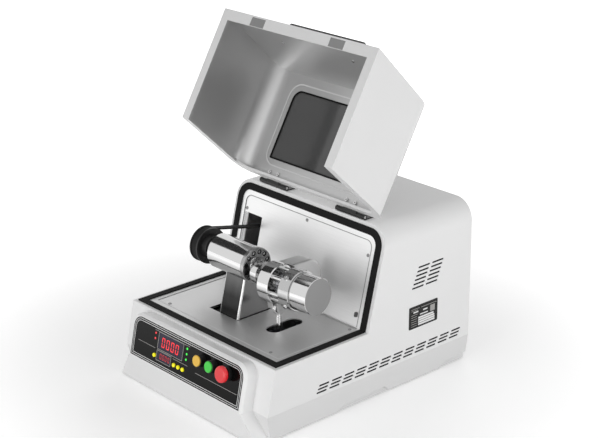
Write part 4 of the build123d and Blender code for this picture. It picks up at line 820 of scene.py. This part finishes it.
def makeVialEnd():
    along = Vector(vialEnd["along"]).normalized()
    centre = Vector(vialEnd["hub"]) + along * vialEnd["reach"]
    bm = bmesh.new()
    bmesh.ops.create_circle(bm, cap_ends=True, radius=vialEnd["radius"], segments=vialEnd["sides"])
    raiseFaces(bm, list(bm.faces), vialEnd["thick"])
    bmesh.ops.recalc_face_normals(bm, faces=bm.faces)
    turn = Vector((0, 0, 1)).rotation_difference(along).to_matrix().to_4x4()
    bmesh.ops.transform(bm, matrix=Matrix.Translation(centre) @ turn, verts=bm.verts)
    addPiece("vialEnd", bm, "vialFace", "vial", 30)


makeVialEnd()

coverPocketShade = {
    "x": 0.0139,
    "thick": 0.0002,
    "centre": (-0.1175, 0.3020),
    "pitch": 0.033,
    "count": 12,
    "outer": 0.0058,
    "inner": 0.0034,
    "sides": 24,
}


def makeCoverPocketShade():
    # painted shade: dark rings in the mouths of the bearing cover's screw wells
    c = coverPocketShade
    bm = bmesh.new()
    rings = []
    for k in range(c["count"]):
        a = (k + 0.5) * math.tau / c["count"]
        spot = Matrix.Translation((-c["pitch"] * math.sin(a), c["pitch"] * math.cos(a), 0))
        before = set(bm.edges)
        for radius in (c["outer"], c["inner"]):
            bmesh.ops.create_circle(bm, radius=radius, segments=c["sides"], matrix=spot)
        rings.append([edge for edge in bm.edges if edge not in before])
    for ring in rings:
        bmesh.ops.bridge_loops(bm, edges=ring)
    raiseFaces(bm, list(bm.faces), c["thick"])
    bmesh.ops.recalc_face_normals(bm, faces=bm.faces)
    turn = Matrix.Rotation(math.radians(90), 4, "Y")
    bmesh.ops.transform(bm, matrix=Matrix.Translation((c["x"], *c["centre"])) @ turn, verts=bm.verts)
    addPiece("coverPocketShade", bm, "paintedShadeBlack", "cabinet")


makeCoverPocketShade()
print("trim added")


# Soft edges on the painted shells
softShells = {
    "front_fascia": {
        "name": "fasciaShell", "body": "cabinet", "slot": "fascia_white", "width": 0.0035, "segments": 3,
    },
    "lid_shell": {"name": "lidHood", "body": "lid", "slot": "lid_white", "width": 0.0012, "segments": 2},
    "main_housing": {
        "name": "housingShell", "body": "cabinet", "slot": "white_paint", "width": 0.0012, "segments": 2,
    },
    "base_skirt": {"name": "skirtShell", "body": "cabinet", "slot": "skirt_paint", "width": 0.0008, "segments": 2},
}
ventBoxes = [
    ((sx - ventShadePanels["reach"], y0, z0), (sx + ventShadePanels["reach"], y1, z1))
    for sx in (-shape["halfWidth"], shape["halfWidth"])
    for (y0, y1), (z0, z1) in ventShadePanels["boxes"]
]
shells = {}
for node, spec in softShells.items():
    shells[node] = softCopy(node, spec, ventBoxes if node == "main_housing" else ())

lidTurn = {
    "angle": math.radians(120),
    "behind": 0.003,  # the hinge line, from the bulkhead's plane at the tower's top
    "above": 0.007,
    "wall": 0.0046,
    "lean": math.radians(16.0),
    "rimGap": 0.0033,
    "rim": 0.0045,
    "rearGap": 0.0078,
}
towerRise = shape["towerTop"] - shape["deckZ"]
towerFront = shape["frontY"] + shape["deckDepth"] + towerRise * math.tan(shape["bulkLean"])
hingeLine = Matrix.Translation((0, towerFront + lidTurn["behind"], shape["towerTop"] + lidTurn["above"]))
closeLid = hingeLine @ Matrix.Rotation(lidTurn["angle"], 4, "X") @ hingeLine.inverted()


def insideLid(spot):
    # whether a point of the closed lid lies on its inner faces
    t = lidTurn
    rise = spot.z - shape["deckZ"]
    frontWall = shape["frontY"] - shape["ledge"] + (rise - t["rimGap"]) * math.tan(t["lean"])
    rearWall = shape["frontY"] + shape["deckDepth"] + rise * math.tan(shape["bulkLean"])
    return (
        abs(spot.x) < shape["halfWidth"] - t["wall"]
        and t["rimGap"] + t["rim"] < rise < towerRise - t["wall"]
        and frontWall + t["wall"] < spot.y < rearWall - t["rearGap"]
    )


def lineLid(hood):
    # the hood's inner faces take the grey lining finish
    hood.data.materials.append(finishes["lidInside"])
    for face in hood.data.polygons:
        if insideLid(closeLid @ face.center):
            face.material_index = 1


lineLid(shells["lid_shell"])

windowRidge = {"out": 0.017, "wide": 0.0032, "thick": 0.0009, "round": 0.036, "behind": 0.0025}


def makeWindowRidge():
    # the pressed step round the window, drawn on the closed lid and then turned open
    r = windowRidge
    spots = [closeLid @ vert.co for vert in nodes["window_seal"].data.vertices]
    low = Vector([min(s[k] for s in spots) for k in range(3)])
    high = Vector([max(s[k] for s in spots) for k in range(3)])
    loops = []
    for out in (r["out"], r["out"] - r["wide"]):
        corner = r["round"] - r["out"] + out
        loops.append(roundedPoints(low.x - out, low.y - out, high.x + out, high.y + out, (corner,) * 4))
    bm = bmesh.new()
    addBand(bm, loops[0], loops[1], r["thick"])
    level = (low.z + high.z) / 2 - r["behind"] - r["thick"]
    bmesh.ops.translate(bm, verts=bm.verts, vec=(0, 0, level))
    bmesh.ops.transform(bm, matrix=closeLid.inverted(), verts=bm.verts)
    addPiece("windowRidge", bm, "trimSoft", "lid")


makeWindowRidge()
print("soft edges made")


# Floor, lamps and surroundings
studio = {
    "floorSize": 30.0,
    "floorTone": 0.78,
    "floorRoughness": 0.8,
    # the floor glows less near the part than far from it, which is painted shade around the part
    "nearLift": 0.34,  # how bright the floor is by itself near the part and far from it
    "farLift": 1.0,
    "nearEdge": 0.35,
    "farEdge": 1.6,
    "skyLight": 0.363,
}


def makeFloor():
    bm = bmesh.new()
    bmesh.ops.create_grid(bm, x_segments=2, y_segments=2, size=studio["floorSize"] / 2)
    mesh = bpy.data.meshes.new("studioFloor")
    bm.to_mesh(mesh)
    bm.free()
    floor = bpy.data.objects.new("studioFloor", mesh)
    bpy.context.scene.collection.objects.link(floor)
    material, tree, shader = newMaterial("studioFloor")
    tone = studio["floorTone"]
    shader.inputs["Base Color"].default_value = (tone, tone, tone, 1)
    shader.inputs["Roughness"].default_value = studio["floorRoughness"]
    shader.inputs["Emission Color"].default_value = (1, 1, 1, 1)
    path = tree.nodes.new("ShaderNodeLightPath")
    seen = calculate(tree, "MAXIMUM", path.outputs["Is Camera Ray"], path.outputs["Is Glossy Ray"])
    spot = tree.nodes.new("ShaderNodeTexCoord")
    away = tree.nodes.new("ShaderNodeVectorMath")
    away.operation = "LENGTH"
    tree.links.new(spot.outputs["Object"], away.inputs[0])
    # painted shade: the floor's glow is dimmer near the part
    ramp = tree.nodes.new("ShaderNodeMapRange")
    ramp.interpolation_type = "SMOOTHSTEP"
    ramp.inputs["From Min"].default_value = studio["nearEdge"]
    ramp.inputs["From Max"].default_value = studio["farEdge"]
    ramp.inputs["To Min"].default_value = studio["nearLift"]
    ramp.inputs["To Max"].default_value = studio["farLift"]
    tree.links.new(away.outputs["Value"], ramp.inputs["Value"])
    lift = calculate(tree, "MULTIPLY", seen, ramp.outputs["Result"])
    tree.links.new(lift, shader.inputs["Emission Strength"])
    mesh.materials.append(material)


def makeWorld():
    world = bpy.data.worlds.new("studioWorld")
    bpy.context.scene.world = world
    world.use_nodes = True
    tree = world.node_tree
    tree.nodes.clear()
    output = tree.nodes.new("ShaderNodeOutputWorld")
    soft = tree.nodes.new("ShaderNodeBackground")
    soft.inputs["Color"].default_value = (1, 1, 1, 1)
    soft.inputs["Strength"].default_value = studio["skyLight"]
    seen = tree.nodes.new("ShaderNodeBackground")
    seen.inputs["Color"].default_value = (1, 1, 1, 1)
    seen.inputs["Strength"].default_value = 1.0
    path = tree.nodes.new("ShaderNodeLightPath")
    either = calculate(tree, "MAXIMUM", path.outputs["Is Camera Ray"], path.outputs["Is Transmission Ray"])
    anyOf = calculate(tree, "MAXIMUM", either, path.outputs["Is Glossy Ray"])
    mix = tree.nodes.new("ShaderNodeMixShader")
    tree.links.new(anyOf, mix.inputs["Fac"])
    tree.links.new(soft.outputs["Background"], mix.inputs[1])
    tree.links.new(seen.outputs["Background"], mix.inputs[2])
    tree.links.new(mix.outputs["Shader"], output.inputs["Surface"])


lampSize = (1.8, 1.2)
lamps = {
    "sideLamp": {"place": (2.6, 0.2, 0.8), "aim": (0, 0, 0.35), "power": 24.0, "mirrored": True},
    "frontLamp": {"place": (0.3, -2.6, 0.8), "aim": (0, 0, 0.3), "power": 27.0, "mirrored": True},
    "rearLamp": {"place": (-1.4, 2.6, 2.0), "aim": (0, 0.1, 0.35), "power": 20.0, "mirrored": False},
}


def makeLamps():
    for name, spec in lamps.items():
        data = bpy.data.lights.new(name, "AREA")
        data.shape = "RECTANGLE"
        data.size, data.size_y = lampSize
        data.energy = spec["power"]
        lamp = bpy.data.objects.new(name, data)
        bpy.context.scene.collection.objects.link(lamp)
        lamp.location = spec["place"]
        lamp.rotation_mode = "QUATERNION"
        lamp.rotation_quaternion = (Vector(spec["aim"]) - Vector(spec["place"])).to_track_quat("-Z", "Y")
        lamp.visible_glossy = spec["mirrored"]


# A black board that only the polished metal sees, as a photographer sets one beside chrome
darkCard = {"place": (-2.15, -0.34, 2.25), "aim": (0, -0.12, 0.3), "wide": 1.9, "high": 1.0}


def makeDarkCard():
    card = darkCard
    bm = bmesh.new()
    bmesh.ops.create_grid(bm, x_segments=1, y_segments=1, size=0.5)
    bmesh.ops.scale(bm, verts=bm.verts, vec=(card["wide"], card["high"], 1))
    place = Vector(card["place"])
    turn = (Vector(card["aim"]) - place).to_track_quat("-Z", "Y").to_matrix().to_4x4()
    bmesh.ops.transform(bm, matrix=Matrix.Translation(place) @ turn, verts=bm.verts)
    mesh = bpy.data.meshes.new("upperLeftCard")
    bm.to_mesh(mesh)
    bm.free()
    mesh.materials.append(finishes["boardBlack"])
    board = bpy.data.objects.new("upperLeftCard", mesh)
    bpy.context.scene.collection.objects.link(board)
    board.visible_camera = False
    board.visible_diffuse = False
    board.visible_transmission = False
    board.visible_shadow = False


makeFloor()
makeWorld()
makeDarkCard()
makeLamps()
print("studio made")
